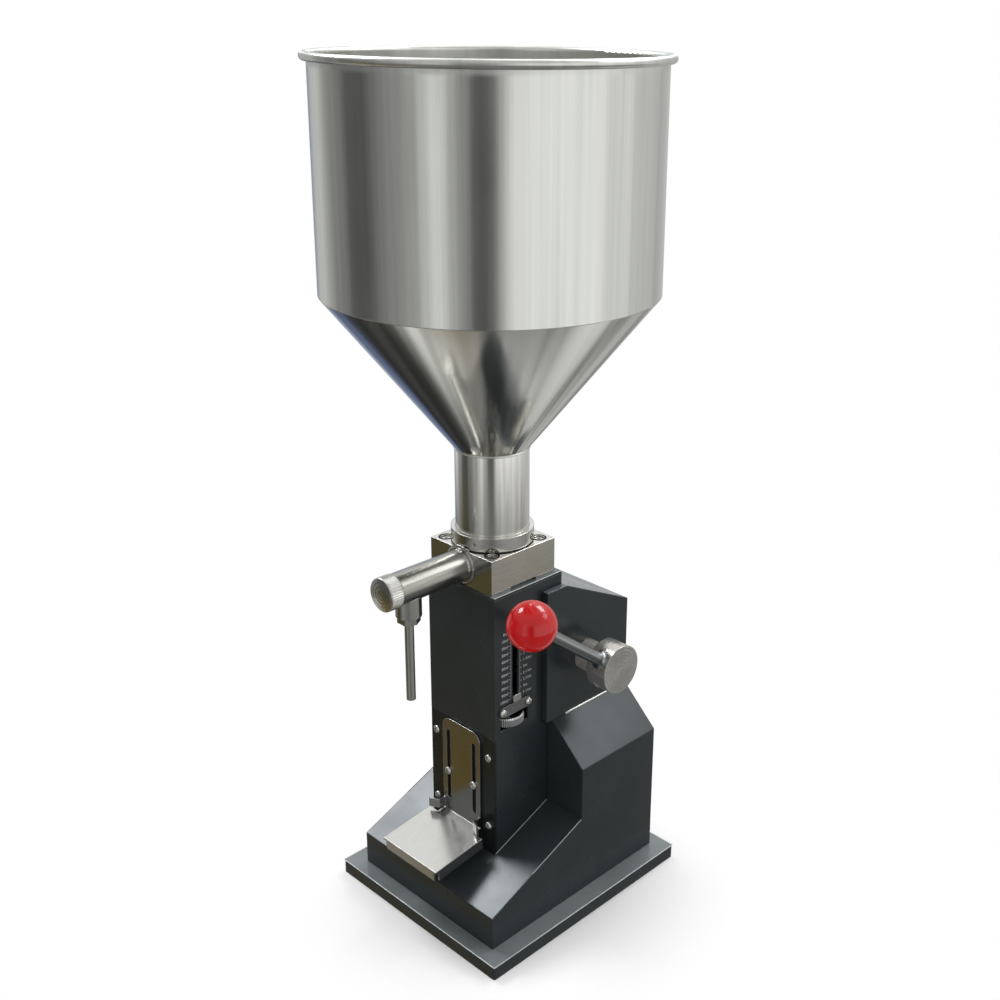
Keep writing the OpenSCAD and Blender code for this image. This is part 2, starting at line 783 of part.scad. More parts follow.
// Spots of the front panel screws
module panel_screw_spots() {
  for (x = [panel_screw_inset - col_x, col_x - panel_screw_inset])
    for (z = [base_t + panel_screw_low_h, base_t + panel_screw_top_h])
      translate([x, 0, z])
        children();
}

// Spots of the adjuster plate screws, in the side of the column
module plate_screw_spots() {
  for (y = [-plate_pitch / 2, plate_pitch / 2])
    translate([0, y - screw_y, plate_z])
      children();
}

// Plate that closes the column under the valve block
module column_top_plate() {
  color("#33383d")
    difference() {
      box(-col_x, col_x, -col_front, col_rear, col_top_z - top_plate_t, col_top_z);
      bar_z(0, -flow_y, col_top_z - top_plate_t - overrun, col_top_z + overrun, cyl_r + pass_gap);
      block_screw_spots()
        bar_z(0, 0, col_top_z - top_plate_t - overrun, col_top_z + overrun, socket_screw_d / 2 + slip);
    }
}

// Front panel, held to the folds of the column by four screws
module front_panel() {
  color("#2c3034")
    difference() {
      box(slip - col_x, col_x - slip, -col_front, panel_t - col_front, panel_foot_z, seam_z - seam_gap);
      panel_screw_spots()
        bar_y(0, -col_front - overrun, panel_t - col_front + overrun, 0, pan_screw_d / 2 + slip);
      for (x = [-tray_slot_x, tray_slot_x])
        bar_y(x, -col_front - overrun, panel_t - col_front + overrun, tray_screw_z, pan_screw_d / 2 + slip);
    }
}

// Screws of the front panel
module front_panel_screws() {
  color("#c8c8c4")
    panel_screw_spots()
      pan_screw_y(0, 0, -col_front, panel_t + col_t);
}

// Spots of the valve block screws
module block_screw_spots() {
  for (x = [-block_screw_x, block_screw_x])
    for (y = [-block_screw_y, block_screw_y])
      translate([x, y - flow_y, 0])
        children();
}

// Valve block, with the neck bore, the inlet seat, the metering chamber and the outlet socket
module valve_block() {
  color("#b9bcbd")
    difference() {
      box(-block_w / 2, block_w / 2, -block_front, block_rear, col_top_z, block_top_z);
      bar_z(0, -flow_y, col_top_z - overrun, chamber_z, bore_r);
      bar_z(0, -flow_y, chamber_z - overrun, block_top_z, inlet_seat_d / 2);
      bar_z(0, -flow_y, web_top_z, block_top_z + overrun, block_bore_d / 2);
      bar_y(0, -block_front - overrun, outlet_socket - block_front, outlet_z, outlet_d / 2 + slip);
      bar_y(0, -block_front - overrun, -flow_y - bore_r / 2, port_z, port_d / 2);
      block_screw_spots() {
        bar_z(0, 0, col_top_z - overrun, block_top_z + overrun, socket_screw_d / 2 + slip);
        bar_z(0, 0, block_top_z - counterbore_depth, block_top_z + overrun, counterbore_d / 2);
      }
      for (x = [-block_w / 2 - overrun, block_w / 2 - relief_depth])
        box(x, x + relief_depth + overrun, -flow_y - relief_l / 2, relief_l / 2 - flow_y,
          col_top_z - overrun, col_top_z + relief_h);
    }
}

// Socket head screws through the valve block into the cylinder flange
module block_screws() {
  color("#9a9c9c")
    block_screw_spots()
      difference() {
        union() {
          bar_z(0, 0, block_top_z - counterbore_depth, block_top_z - counterbore_depth + socket_screw_d,
            socket_head_d / 2);
          bar_z(0, 0, col_top_z - top_plate_t - flange_t, block_top_z - counterbore_depth + slip,
            socket_screw_d / 2);
        }
        translate([0, 0, block_top_z - counterbore_depth + socket_screw_d / 2])
          cylinder(h = socket_screw_d, d = hex_socket_w, $fn = 6);
      }
}

// Valve guide, a ring with three arms that steers the inlet valve stem
module valve_guide() {
  color("#a9acad")
    translate([0, -flow_y, web_top_z])
      difference() {
        union() {
          difference() {
            cylinder(h = guide_t, d = block_bore_d - 2 * slip);
            translate([0, 0, -overrun])
              cylinder(h = guide_t + 2 * overrun, d = block_bore_d - 2 * guide_rim);
          }
          cylinder(h = guide_t, d = inlet_cap_d);
          for (a = [90, 210, 330])
            rotate([0, 0, a])
              translate([0, -guide_arm_w / 2, 0])
                cube([block_bore_d / 2 - guide_rim / 2, guide_arm_w, guide_t]);
        }
        translate([0, 0, -overrun])
          cylinder(h = guide_t + 2 * overrun, r = inlet_stem_d / 2 + bush_gap);
      }
}

// Inlet valve, a disc under the seat with a stem and a stop, shown shut
module inlet_valve() {
  color("#8f9293")
    translate([0, -flow_y, 0]) {
      bar_z(0, 0, chamber_z - slip - inlet_disc_t, chamber_z - slip, inlet_disc_d / 2);
      bar_z(0, 0, chamber_z - 2 * slip, web_top_z + guide_t + inlet_travel + slip, inlet_stem_d / 2);
      bar_z(0, 0, web_top_z + guide_t + inlet_travel, web_top_z + guide_t + inlet_travel + inlet_cap_t,
        inlet_cap_d / 2 - slip);
    }
}

// Gasket between the valve block and the neck ring
module neck_gasket() {
  color("#141414")
    translate([0, -flow_y, block_top_z])
      difference() {
        cylinder(h = gasket_t, r = ring_d / 2 - gasket_inset);
        translate([0, 0, -overrun])
          cylinder(h = gasket_t + 2 * overrun, r = neck_r - hopper_t);
      }
}

// Neck ring, holds the hopper neck on the valve block
module neck_ring() {
  color("#c4c6c7")
    difference() {
      translate([0, -flow_y, ring_z])
        difference() {
          cylinder(h = ring_h, d = ring_d);
          translate([0, 0, -overrun])
            cylinder(h = ring_h + 2 * overrun, r = neck_r - hopper_t);
          translate([0, 0, 2 * hopper_t])
            cylinder(h = ring_h, r = neck_r + slip);
        }
      translate([0, -flow_y, (ring_z + ring_top_z) / 2])
        rotate([90, 0, 22])
          cylinder(h = ring_d, d = spanner_hole_d);
    }
}

// Hopper neck, a tube welded under the cone
module hopper_neck() {
  color("#c9cccd")
    translate([0, -flow_y, 0])
      rotate_extrude()
        polygon([[neck_r - hopper_t, ring_z + 2 * hopper_t + slip], [neck_r, ring_z + 2 * hopper_t + slip],
          [neck_r, hopper_cone_z], [neck_r - hopper_t, hopper_cone_z + hopper_t / 2]]);
}

// Hopper cone, welded to the neck and to the hopper wall
module hopper_cone() {
  color("#c9cccd")
    translate([0, -flow_y, 0])
      rotate_extrude()
        polygon([[neck_r, hopper_cone_z], [hopper_r, hopper_cyl_z],
          [hopper_r - hopper_t, hopper_cyl_z + hopper_t / 2], [neck_r - hopper_t, hopper_cone_z + hopper_t / 2]]);
}

// Hopper wall, a cylinder with a rolled rim
module hopper() {
  color("#c9cccd")
    translate([0, -flow_y, 0])
      rotate_extrude() {
        polygon([[hopper_r, hopper_cyl_z], [hopper_r, hopper_top_z - bead_r],
          [hopper_r - hopper_t, hopper_top_z - bead_r], [hopper_r - hopper_t, hopper_cyl_z + hopper_t / 2]]);
        translate([hopper_r - hopper_t + bead_r, hopper_top_z - bead_r])
          circle(r = bead_r);
      }
}

// Nozzle boss, welded under the outlet tube
module nozzle_boss() {
  color("#c0c3c4")
    difference() {
      bar_z(0, -nozzle_y, outlet_z - boss_drop, outlet_z, boss_d / 2);
      bar_y(0, -outlet_end, -block_front, outlet_z, outlet_d / 2);
      bar_z(0, -nozzle_y, outlet_z - boss_drop - overrun, outlet_z, boss_bore_d / 2);
    }
}

// Outlet tube, with its weld ring and a hole over the nozzle boss
module outlet_tube() {
  color("#c0c3c4")
    difference() {
      union() {
        bar_y(0, cap_wall + cap_seal_t - outlet_end, outlet_socket - block_front - slip, outlet_z, outlet_d / 2);
        bar_y(0, -block_front - weld_ring_l, -block_front, outlet_z, weld_ring_d / 2);
      }
      bar_y(0, -outlet_end, overrun - block_front + outlet_socket, outlet_z, outlet_d / 2 - outlet_t);
      bar_z(0, -nozzle_y, outlet_z - boss_drop - overrun, outlet_z, boss_bore_d / 2);
    }
}

// Outlet valve seat, pressed into the outlet tube
module outlet_seat() {
  color("#a9acad")
    difference() {
      bar_y(0, -seat_y - outlet_seat_l, -seat_y, outlet_z, outlet_d / 2 - outlet_t - slip / 2);
      bar_y(0, -seat_y - outlet_seat_l - overrun, overrun - seat_y, outlet_z, outlet_seat_bore_d / 2);
    }
}

// Outlet valve, a disc and stem that the spring holds shut
module outlet_valve() {
  color("#8f9293") {
    bar_y(0, -spring_start, poppet_t - spring_start, outlet_z, poppet_d / 2);
    bar_y(0, -spring_start - poppet_stem_l, slip - spring_start, outlet_z, poppet_stem_d / 2);
  }
}

// Ring of wire points of the spring at one step
function wire_ring(a, y) = [for (i = [0 : spring_sides - 1])
  let (b = 360 * i / spring_sides, r = spring_d / 2 + spring_wire_d / 2 * cos(b))
    [r * cos(a), y + spring_wire_d / 2 * sin(b), r * sin(a)]];

// Outlet spring, one wire wound round the valve stem
module outlet_spring() {
  steps = spring_turns * spring_steps;
  y0 = -spring_start - spring_wire_d / 2 - slip;
  y1 = spring_wire_d / 2 + slip - spring_end;
  rings = [for (i = [0 : steps]) wire_ring(360 * i / spring_steps, y0 + (y1 - y0) * i / steps)];
  points = [for (r = rings) for (p = r) p];
  last = steps * spring_sides;
  sides = [for (i = [0 : steps - 1]) for (j = [0 : spring_sides - 1])
    let (k = (j + 1) % spring_sides, a = i * spring_sides, b = a + spring_sides)
      each [[a + j, b + j, b + k], [a + j, b + k, a + k]]];
  ends = [for (j = [1 : spring_sides - 2]) each [[0, j, j + 1], [last, last + j + 1, last + j]]];
  color("#9da0a0")
    translate([0, 0, outlet_z])
      polyhedron(points = points, faces = concat(sides, ends), convexity = spring_sides);
}

// Seal between the outlet tube and its cap
module cap_seal() {
  color("#e8e4da")
    difference() {
      bar_y(0, cap_wall - outlet_end, cap_wall + cap_seal_t - outlet_end, outlet_z, outlet_d / 2);
      bar_y(0, cap_wall - outlet_end - overrun, cap_wall + cap_seal_t - outlet_end + overrun, outlet_z,
        outlet_d / 2 - outlet_t);
    }
}

// Outlet cap, screwed over the end of the outlet tube, with a seat for the spring
module outlet_cap() {
  color("#c0c3c4") {
    difference() {
      bar_y(0, -outlet_end, cap_l - outlet_end, outlet_z, cap_d / 2);
      bar_y(0, cap_wall - outlet_end, cap_l - outlet_end + overrun, outlet_z, outlet_d / 2 + slip / 2);
    }
    bar_y(0, cap_wall - slip - outlet_end, cap_wall + spring_seat_l - outlet_end, outlet_z, spring_seat_d / 2);
  }
}

// Nozzle nut, clamps the nozzle tube under the boss
module nozzle_nut() {
  color("#b5b8b9")
    translate([0, -nozzle_y, outlet_z - boss_drop - nut_h])
      difference() {
        cylinder(h = nut_h, d = nut_w / cos(30), $fn = 6);
        translate([0, 0, -overrun])
          cylinder(h = nut_h + 2 * overrun, r = nozzle_d / 2 + slip / 2);
      }
}

// Nozzle tube, the mouth that fills the cup
module nozzle_tube() {
  color("#b9bcbd")
    translate([0, -nozzle_y, 0])
      difference() {
        union() {
          bar_z(0, 0, base_t + nozzle_mouth_h, outlet_z - boss_drop + 2 * nozzle_collar_h, nozzle_d / 2);
          bar_z(0, 0, outlet_z - boss_drop, outlet_z - boss_drop + nozzle_collar_h, nozzle_collar_d / 2);
        }
        bar_z(0, 0, base_t + nozzle_mouth_h - overrun, outlet_z, nozzle_bore_d / 2);
      }
}

// Metering cylinder, a tube with a square flange under the column top
module metering_cylinder() {
  color("#aeb1b2")
    difference() {
      union() {
        bar_z(0, -flow_y, cyl_foot_z, col_top_z, cyl_r);
        box(-flange_w / 2, flange_w / 2, pass_gap + col_t - col_front, flange_w / 2 - flow_y,
          col_top_z - top_plate_t - flange_t, col_top_z - top_plate_t);
      }
      bar_z(0, -flow_y, cyl_foot_z - overrun, col_top_z + overrun, bore_r);
      block_screw_spots()
        bar_z(0, 0, col_top_z - top_plate_t - flange_t - overrun, col_top_z, socket_screw_d / 2 + slip);
    }
}

// Piston with two seal grooves, shown at the top of its stroke
module piston() {
  color("#d8d5cc")
    difference() {
      bar_z(0, -flow_y, piston_foot_z, piston_top_z, piston_r);
      for (z = seal_z)
        difference() {
          bar_z(0, -flow_y, z, z + groove_w, piston_r + overrun);
          bar_z(0, -flow_y, z - overrun, z + groove_w + overrun, piston_r - groove_depth);
        }
    }
}

// Seals of the piston
module piston_seals() {
  color("#1a1a1a")
    for (z = seal_z)
      difference() {
        bar_z(0, -flow_y, z + slip, z + groove_w - slip, bore_r - piston_gap / 2);
        bar_z(0, -flow_y, z - overrun, z + groove_w + overrun, piston_r - groove_depth + slip / 2);
      }
}

// Piston rod, with a thread at its foot for the crosshead
module piston_rod() {
  color("#a5a8a9") {
    bar_z(0, -flow_y, bar_top_z, piston_foot_z, piston_rod_d / 2);
    bar_z(0, -flow_y, bar_foot_z - rod_nut_h, bar_top_z + slip, rod_thread_d / 2);
  }
}

// Nut that holds the crosshead on the piston rod
module rod_nut() {
  color("#8f9293")
    translate([0, -flow_y, bar_foot_z - rod_nut_h])
      difference() {
        cylinder(h = rod_nut_h, d = rod_nut_w / cos(30), $fn = 6);
        translate([0, 0, -overrun])
          cylinder(h = rod_nut_h + 2 * overrun, d = rod_thread_d + slip);
      }
}

// Crosshead, a bar under the cylinder with a slotted side plate for the crank roller
module crosshead() {
  color("#6c7176")
    difference() {
      union() {
        box(-side_x - side_t, bar_right, -flow_y - bar_front, bar_rear - flow_y, bar_foot_z, bar_top_z);
        box(0, stop_rod_x + stop_collar_d / 2, -stop_rod_y - stop_rod_d / 2 - slip * 5,
          bar_rear - flow_y, bar_foot_z, bar_top_z);
        along_x(-side_x - side_t, -side_x)
          round_rect(pin_y_far - side_slot_half - side_margin, pin_y + side_slot_half + side_margin,
            bar_foot_z, pin_z + side_slot_half + side_margin, side_margin);
      }
      along_x(-side_x - side_t - overrun, overrun - side_x)
        round_rect(pin_y_far - side_slot_half, pin_y + side_slot_half, pin_z - side_slot_half,
          pin_z + side_slot_half, side_slot_half - slip);
      bar_z(0, -flow_y, bar_foot_z - overrun, bar_top_z + overrun, rod_thread_d / 2 + slip);
      bar_z(stop_rod_x, -stop_rod_y, bar_foot_z - overrun, bar_top_z + overrun, stop_rod_d / 2 + slip / 2);
    }
}

// Stop rod, stands on the crosshead and carries the collar that meets the stop nut
module stop_rod() {
  color("#a5a8a9") {
    bar_z(stop_rod_x, -stop_rod_y, bar_foot_z, collar_z + stop_collar_h, stop_rod_d / 2);
    bar_z(stop_rod_x, -stop_rod_y, collar_z, collar_z + stop_collar_h, stop_collar_d / 2);
  }
}

// Lever shaft, runs across the upper housing in two bushes
module lever_shaft() {
  color("#9da0a1")
    bar_x(-upper_x - bush_flange_t, hub_end_x - hub_wall - slip, shaft_y, shaft_z, shaft_d / 2);
}

// Crank arm on the lever shaft
module crank_arm() {
  color("#6c7176")
    along_x(-crank_x - crank_t, -crank_x)
      difference() {
        union() {
          translate([shaft_y, shaft_z])
            circle(d = crank_hub_d);
          translate([pin_y, pin_z])
            circle(d = crank_eye_d);
          translate([shaft_y, shaft_z])
            rotate([0, 0, 180 - lever_swing / 2])
              translate([0, -crank_w / 2])
                square([crank_r, crank_w]);
        }
        translate([shaft_y, shaft_z])
          circle(r = shaft_d / 2 + slip / 2);
        translate([pin_y, pin_z])
          circle(r = crank_pin_d / 2 + slip / 2);
      }
}

// Crank pin, riveted into the crank arm
module crank_pin() {
  color("#9da0a1")
    bar_x(-crank_x - crank_t, slip - side_x, pin_y, pin_z, crank_pin_d / 2);
}

// Crank roller, runs in the slot of the crosshead
module crank_roller() {
  color("#b8a060")
    difference() {
      bar_x(-side_x - side_t, -side_x, pin_y, pin_z, roller_r);
      bar_x(-side_x - side_t - overrun, overrun - side_x, pin_y, pin_z, crank_pin_d / 2 + bush_gap);
    }
}

// Right shaft bush, the collar between the housing and the lever hub
module bush_right() {
  color("#9a9d9e")
    difference() {
      union() {
        bar_x(wall_x - bush_flange_t, bush_end_x, shaft_y, shaft_z, bush_right_d / 2);
        bar_x(wall_x - bush_flange_t, wall_x, shaft_y, shaft_z, bush_right_d / 2 + bush_flange);
      }
      bar_x(wall_x - bush_flange_t - overrun, bush_end_x + overrun, shaft_y, shaft_z, shaft_d / 2 + bush_gap);
    }
}

// Left shaft bush, with its flange outside the housing
module bush_left() {
  color("#9a9d9e")
    difference() {
      union() {
        bar_x(-upper_x - bush_flange_t, -crank_x - crank_t - crank_gap, shaft_y, shaft_z, bush_left_d / 2);
        bar_x(-upper_x - bush_flange_t, -upper_x, shaft_y, shaft_z, bush_left_d / 2 + bush_flange);
      }
      bar_x(-upper_x - bush_flange_t - overrun, overrun - crank_x, shaft_y, shaft_z, shaft_d / 2 + bush_gap);
    }
}

// Lever hub, closed at its outer end, with a cross bore for the lever rod
module lever_hub() {
  color("#a2a5a6")
    difference() {
      bar_x(hub_x, hub_end_x, shaft_y, shaft_z, hub_d / 2);
      bar_x(hub_x - overrun, hub_end_x - hub_wall, shaft_y, shaft_z, shaft_d / 2 + slip / 2);
      translate([hub_mid_x, shaft_y, shaft_z])
        rotate([90 - lever_up, 0, 0])
          translate([0, 0, rod_root - slip])
            cylinder(h = hub_d, r = lever_rod_d / 2 + slip / 2);
    }
}

// Lever rod, from the hub into the ball
module lever_rod() {
  color("#8f9293")
    translate([hub_mid_x, shaft_y, shaft_z])
      rotate([90 - lever_up, 0, 0])
        translate([0, 0, rod_root])
          cylinder(h = lever_l - ball_d / 2 + ball_socket - rod_root, r = lever_rod_d / 2);
}

// Ball at the end of the lever
module ball_knob() {
  color("#c8202a")
    translate([hub_mid_x, shaft_y, shaft_z])
      rotate([90 - lever_up, 0, 0])
        difference() {
          translate([0, 0, lever_l])
            sphere(d = ball_d);
          cylinder(h = lever_l - ball_d / 2 + ball_socket + slip, r = lever_rod_d / 2 + slip / 2);
        }
}

// Lead screw of the volume adjuster
module lead_screw() {
  color("#9da0a1") {
    bar_z(screw_x, -screw_y, wheel_top_z - wheel_t, upper_bearing_z + bearing_h, screw_d / 2);
  }
}

// Thumb wheel, fixed to the foot of the lead screw
module thumb_wheel() {
  color("#a0a3a4")
    difference() {
      bar_z(screw_x, -screw_y, wheel_top_z - wheel_t, wheel_top_z, wheel_d / 2);
      bar_z(screw_x, -screw_y, wheel_top_z - wheel_t - overrun, wheel_top_z + overrun, screw_d / 2 + slip / 2);
    }
}

// Stop nut with its wing and the pointer that shows through the slot
module stop_nut() {
  color("#8f9293")
    difference() {
      union() {
        bar_z(screw_x, -screw_y, pointer_z - stop_nut_h / 2, pointer_z + stop_nut_h / 2, stop_nut_d / 2);
        box(side_x, side_x + wing_w, -screw_y, -stop_rod_y - stop_collar_d / 2 - stop_gap,
          pointer_z - stop_nut_h / 2, pointer_z + stop_nut_h / 2);
        box(screw_x, col_x + slide_gap + pointer_t / 2, -slot_y - tongue_w / 2, tongue_w / 2 - slot_y,
          pointer_z - tongue_h / 2, pointer_z + tongue_h / 2);
        along_x(col_x + slide_gap, col_x + slide_gap + pointer_t)
          round_rect(-slot_y - pointer_w / 2, pointer_w / 2 - slot_y, pointer_z - pointer_head_h / 2,
            pointer_z + pointer_head_h / 2, pointer_head_h / 4);
      }
      bar_z(screw_x, -screw_y, pointer_z - stop_nut_h, pointer_z + stop_nut_h, screw_d / 2 + bush_gap);
    }
}

// Adjuster plate on the side of the column, between slot and window
module adjuster_plate() {
  color("#555b61")
    difference() {
      along_x(col_x, col_x + plate_t)
        round_rect(-screw_y - bearing_l / 2, bearing_l / 2 - screw_y, plate_z - plate_w / 2,
          plate_z + plate_w / 2, plate_w / 2 - slip);
      plate_screw_spots()
        bar_x(col_x - overrun, col_x + plate_t + overrun, 0, 0, pan_screw_d / 2 + slip);
    }
}

// Screws of the adjuster plate, into the lower bearing block
module adjuster_screws() {
  color("#c8c8c4")
    plate_screw_spots() {
      bar_x(col_x + plate_t, col_x + plate_t + pan_head_h, 0, 0, pan_head_d / 2);
      bar_x(inner_x - bearing_reach / 3, col_x + plate_t + slip, 0, 0, pan_screw_d / 2);
    }
}

// Lower bearing block of the lead screw, above the thumb wheel
module lower_bearing() {
  color("#7d8286")
    difference() {
      box(inner_x - bearing_reach, inner_x, -screw_y - bearing_l / 2, bearing_l / 2 - screw_y, bearing_z,
        bearing_z + bearing_h - slip);
      bar_z(screw_x, -screw_y, bearing_z - overrun, bearing_z + bearing_h + overrun, screw_d / 2 + bush_gap);
      plate_screw_spots()
        bar_x(inner_x - bearing_reach / 3 - slip, inner_x + overrun, 0, 0, pan_screw_d / 2 + slip / 2);
    }
}

// Upper bearing block of the lead screw
module upper_bearing() {
  color("#7d8286")
    difference() {
      union() {
        bar_z(screw_x, -screw_y, upper_bearing_z, upper_bearing_z + bearing_h, bearing_w / 2);
        box(screw_x, inner_x, -screw_y - bearing_w / 2, bearing_w / 2 - screw_y, upper_bearing_z,
          upper_bearing_z + bearing_h);
      }
      bar_z(screw_x, -screw_y, upper_bearing_z - overrun, upper_bearing_z + bearing_h + overrun,
        screw_d / 2 + bush_gap);
    }
}

// One ear of the tray, on the +X side
module tray_ear() {
  x0 = back_w / 2 - tray_t;
  c = cos(ear_flare_a);
  d = sin(ear_flare_a);
  linear_extrude(height = ear_h)
    polygon([[x0, tray_t / 2], [x0, -ear_d], [x0 + ear_flare_l * c, -ear_d - ear_flare_l * d],
      [x0 + ear_flare_l * c + tray_t * d, -ear_d - ear_flare_l * d + tray_t * c],
      [back_w / 2, -ear_d + tray_t * c - tray_t * (1 - d) * d / c], [back_w / 2, tray_t / 2]]);
}

// Tray, one bent sheet with a slotted back plate, a tongue, folded edges and two ears
module tray() {
  y0 = back_face_y - tray_t;
  c = cos(tray_fall);
  d = sin(tray_fall);
  l = tongue_l + overrun;
  color("#c6c8c8")
    difference() {
      union() {
        along_x(-back_w / 2, back_w / 2)
          polygon([[back_face_y, back_top_z], [y0, back_top_z], [y0, bend_z], [y0 - l * c, bend_z - l * d],
            [y0 - l * c + tray_t * d, bend_z - l * d - tray_t * c],
            [back_face_y, bend_z - tray_t * c + tray_t * (1 - d) * d / c]]);
        translate([0, y0, bend_z + ear_up]) {
          tray_ear();
          mirror([1, 0, 0])
            tray_ear();
        }
        translate([0, y0, bend_z])
          rotate([tray_fall, 0, 0]) {
            box(-tray_w / 2, tray_w / 2, -tongue_l - tray_d, -tongue_l, -tray_t, 0);
            for (x = [-tray_w / 2, tray_w / 2 - tray_t])
              box(x, x + tray_t, -tongue_l - tray_d + tray_notch + tray_t, -tongue_l, -tray_edge_h, -tray_t / 2);
            box(tray_notch + tray_t - tray_w / 2, tray_w / 2 - tray_t - tray_notch,
              -tongue_l - tray_d, tray_t - tongue_l - tray_d, -tray_edge_h, -tray_t / 2);
          }
      }
      for (x = [-tray_slot_x, tray_slot_x])
        along_y(y0 - overrun, back_face_y + overrun)
          round_rect(x - tray_slot_w / 2, x + tray_slot_w / 2, slot_low_z, slot_high_z, tray_slot_w / 2 - slip);
      for (x = [-1, 1])
        along_y(y0 - overrun, back_face_y + overrun)
          translate([x * (back_w / 2 - back_r), back_top_z - back_r])
            difference() {
              translate([x * back_r - back_r, 0])
                square([2 * back_r, 2 * back_r]);
              circle(r = back_r);
            }
    }
}

// Screws that hold the tray through its slots
module tray_screws() {
  color("#c8c8c4")
    for (x = [-tray_slot_x, tray_slot_x])
      pan_screw_y(x, tray_screw_z, back_face_y - tray_t - slide_gap, 2 * slide_gap + tray_t + panel_t + col_t);
}

base_plate();
base_housing();
upper_housing();
rear_cover();
rear_cover_screws();
column();
column_top_plate();
front_panel();
front_panel_screws();
valve_block();
block_screws();
valve_guide();
inlet_valve();
neck_gasket();
neck_ring();
hopper_neck();
hopper_cone();
hopper();
outlet_tube();
nozzle_boss();
outlet_seat();
outlet_valve();
outlet_spring();
cap_seal();
outlet_cap();
nozzle_nut();
nozzle_tube();
metering_cylinder();
piston();
piston_seals();
piston_rod();
rod_nut();
crosshead();
stop_rod();
lever_shaft();
crank_arm();
crank_pin();
crank_roller();
bush_right();
bush_left();
lever_hub();
lever_rod();
ball_knob();
lead_screw();
thumb_wheel();
stop_nut();
adjuster_plate();
adjuster_screws();
lower_bearing();
upper_bearing();
tray();
tray_screws();
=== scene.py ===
"""Looks of the paste filling machine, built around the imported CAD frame.

Lengths are in millimetres where nothing else is said, and MM turns them into metres.
"""
import json
import math
import bmesh
import bpy
from mathutils import Matrix, Vector


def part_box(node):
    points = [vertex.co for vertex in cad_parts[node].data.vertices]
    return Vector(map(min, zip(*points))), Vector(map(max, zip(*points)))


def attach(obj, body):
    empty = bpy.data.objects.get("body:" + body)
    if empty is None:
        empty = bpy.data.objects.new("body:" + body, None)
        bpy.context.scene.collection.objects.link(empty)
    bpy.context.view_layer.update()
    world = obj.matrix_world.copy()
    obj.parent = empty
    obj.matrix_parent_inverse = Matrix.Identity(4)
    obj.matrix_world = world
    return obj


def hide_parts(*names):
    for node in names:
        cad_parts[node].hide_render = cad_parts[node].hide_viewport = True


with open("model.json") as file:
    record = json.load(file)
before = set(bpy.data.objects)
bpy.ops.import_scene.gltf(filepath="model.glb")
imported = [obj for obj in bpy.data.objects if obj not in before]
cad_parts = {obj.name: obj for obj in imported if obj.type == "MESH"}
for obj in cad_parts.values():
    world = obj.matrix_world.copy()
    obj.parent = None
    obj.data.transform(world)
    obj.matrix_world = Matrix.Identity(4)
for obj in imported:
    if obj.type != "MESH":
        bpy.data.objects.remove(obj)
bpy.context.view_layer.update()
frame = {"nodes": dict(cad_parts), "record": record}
MM = 0.001

# ---------------------------------------------------------------- places in the frame

X, Y, Z = 0, 1, 2
LOW, HIGH = 0, 1
FRONT, REAR, RIGHT = (0, -1, 0), (0, 1, 0), (1, 0, 0)


def side(node, axis, end):
    """Lowest or highest place of a CAD node along an axis."""
    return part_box(node)[end][axis] / MM


def middle(node):
    """Centre of a CAD node's box."""
    lo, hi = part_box(node)
    return (Vector(lo) + Vector(hi)) / 2 / MM


def half(node, axis):
    """Half of a CAD node's size along an axis."""
    return (side(node, axis, HIGH) - side(node, axis, LOW)) / 2


HOPPER_AXIS = middle("hopper_neck")
HOPPER_R = half("hopper_cone", X)
SHAFT = Vector((0.0, 45.8, 211.1))

# ---------------------------------------------------------------- node tools

# Levels between which most of a noise texture lies
NOISE_LOW, NOISE_HIGH = 0.3, 0.7


def tint(col, k):
    return tuple(c * k for c in col)


class Tree:
    """Short names for building a node tree."""

    def __init__(self, tree):
        self.tree = tree

    def add(self, kind, **inputs):
        node = self.tree.nodes.new(kind)
        for key, value in inputs.items():
            self.put(node, key.replace("_", " "), value)
        return node

    def put(self, node, key, value):
        socket = node.inputs[int(key)] if key.isdigit() else node.inputs[key]
        if isinstance(value, bpy.types.NodeSocket):
            self.tree.links.new(value, socket)
        else:
            socket.default_value = value

    def math(self, operation, first, second):
        node = self.add("ShaderNodeMath", **{"0": first, "1": second})
        node.operation = operation
        return node.outputs[0]

    def vector(self, operation, *operands):
        node = self.add("ShaderNodeVectorMath", **{str(i): value for i, value in enumerate(operands)})
        node.operation = operation
        return node

    def mix(self, factor, low, high):
        """Mix of two colours."""
        node = self.add("ShaderNodeMix", Factor=factor)
        node.data_type = "RGBA"
        self.put(node, "6", low)
        self.put(node, "7", high)
        return node.outputs[2]

    def mix_shaders(self, factor, low, high):
        return self.add("ShaderNodeMixShader", **{"0": factor, "1": low, "2": high}).outputs[0]

    def ramp(self, fac, stops, easing="LINEAR"):
        node = self.add("ShaderNodeValToRGB", Fac=fac)
        node.color_ramp.interpolation = easing
        line = node.color_ramp.elements
        while len(line) < len(stops):
            line.new(0.5)
        for part, (pos, col) in zip(line, stops):
            part.position = pos
            part.color = (*col, 1.0)
        return node.outputs["Color"]

    def span(self, value, start, end, low=0.0, high=1.0, easing="LINEAR"):
        """low where value is at start, high where it is at end, and no further."""
        node = self.add("ShaderNodeMapRange", Value=value)
        node.interpolation_type = easing
        for key, number in (("From Min", start), ("From Max", end), ("To Min", low), ("To Max", high)):
            node.inputs[key].default_value = number
        return node.outputs["Result"]


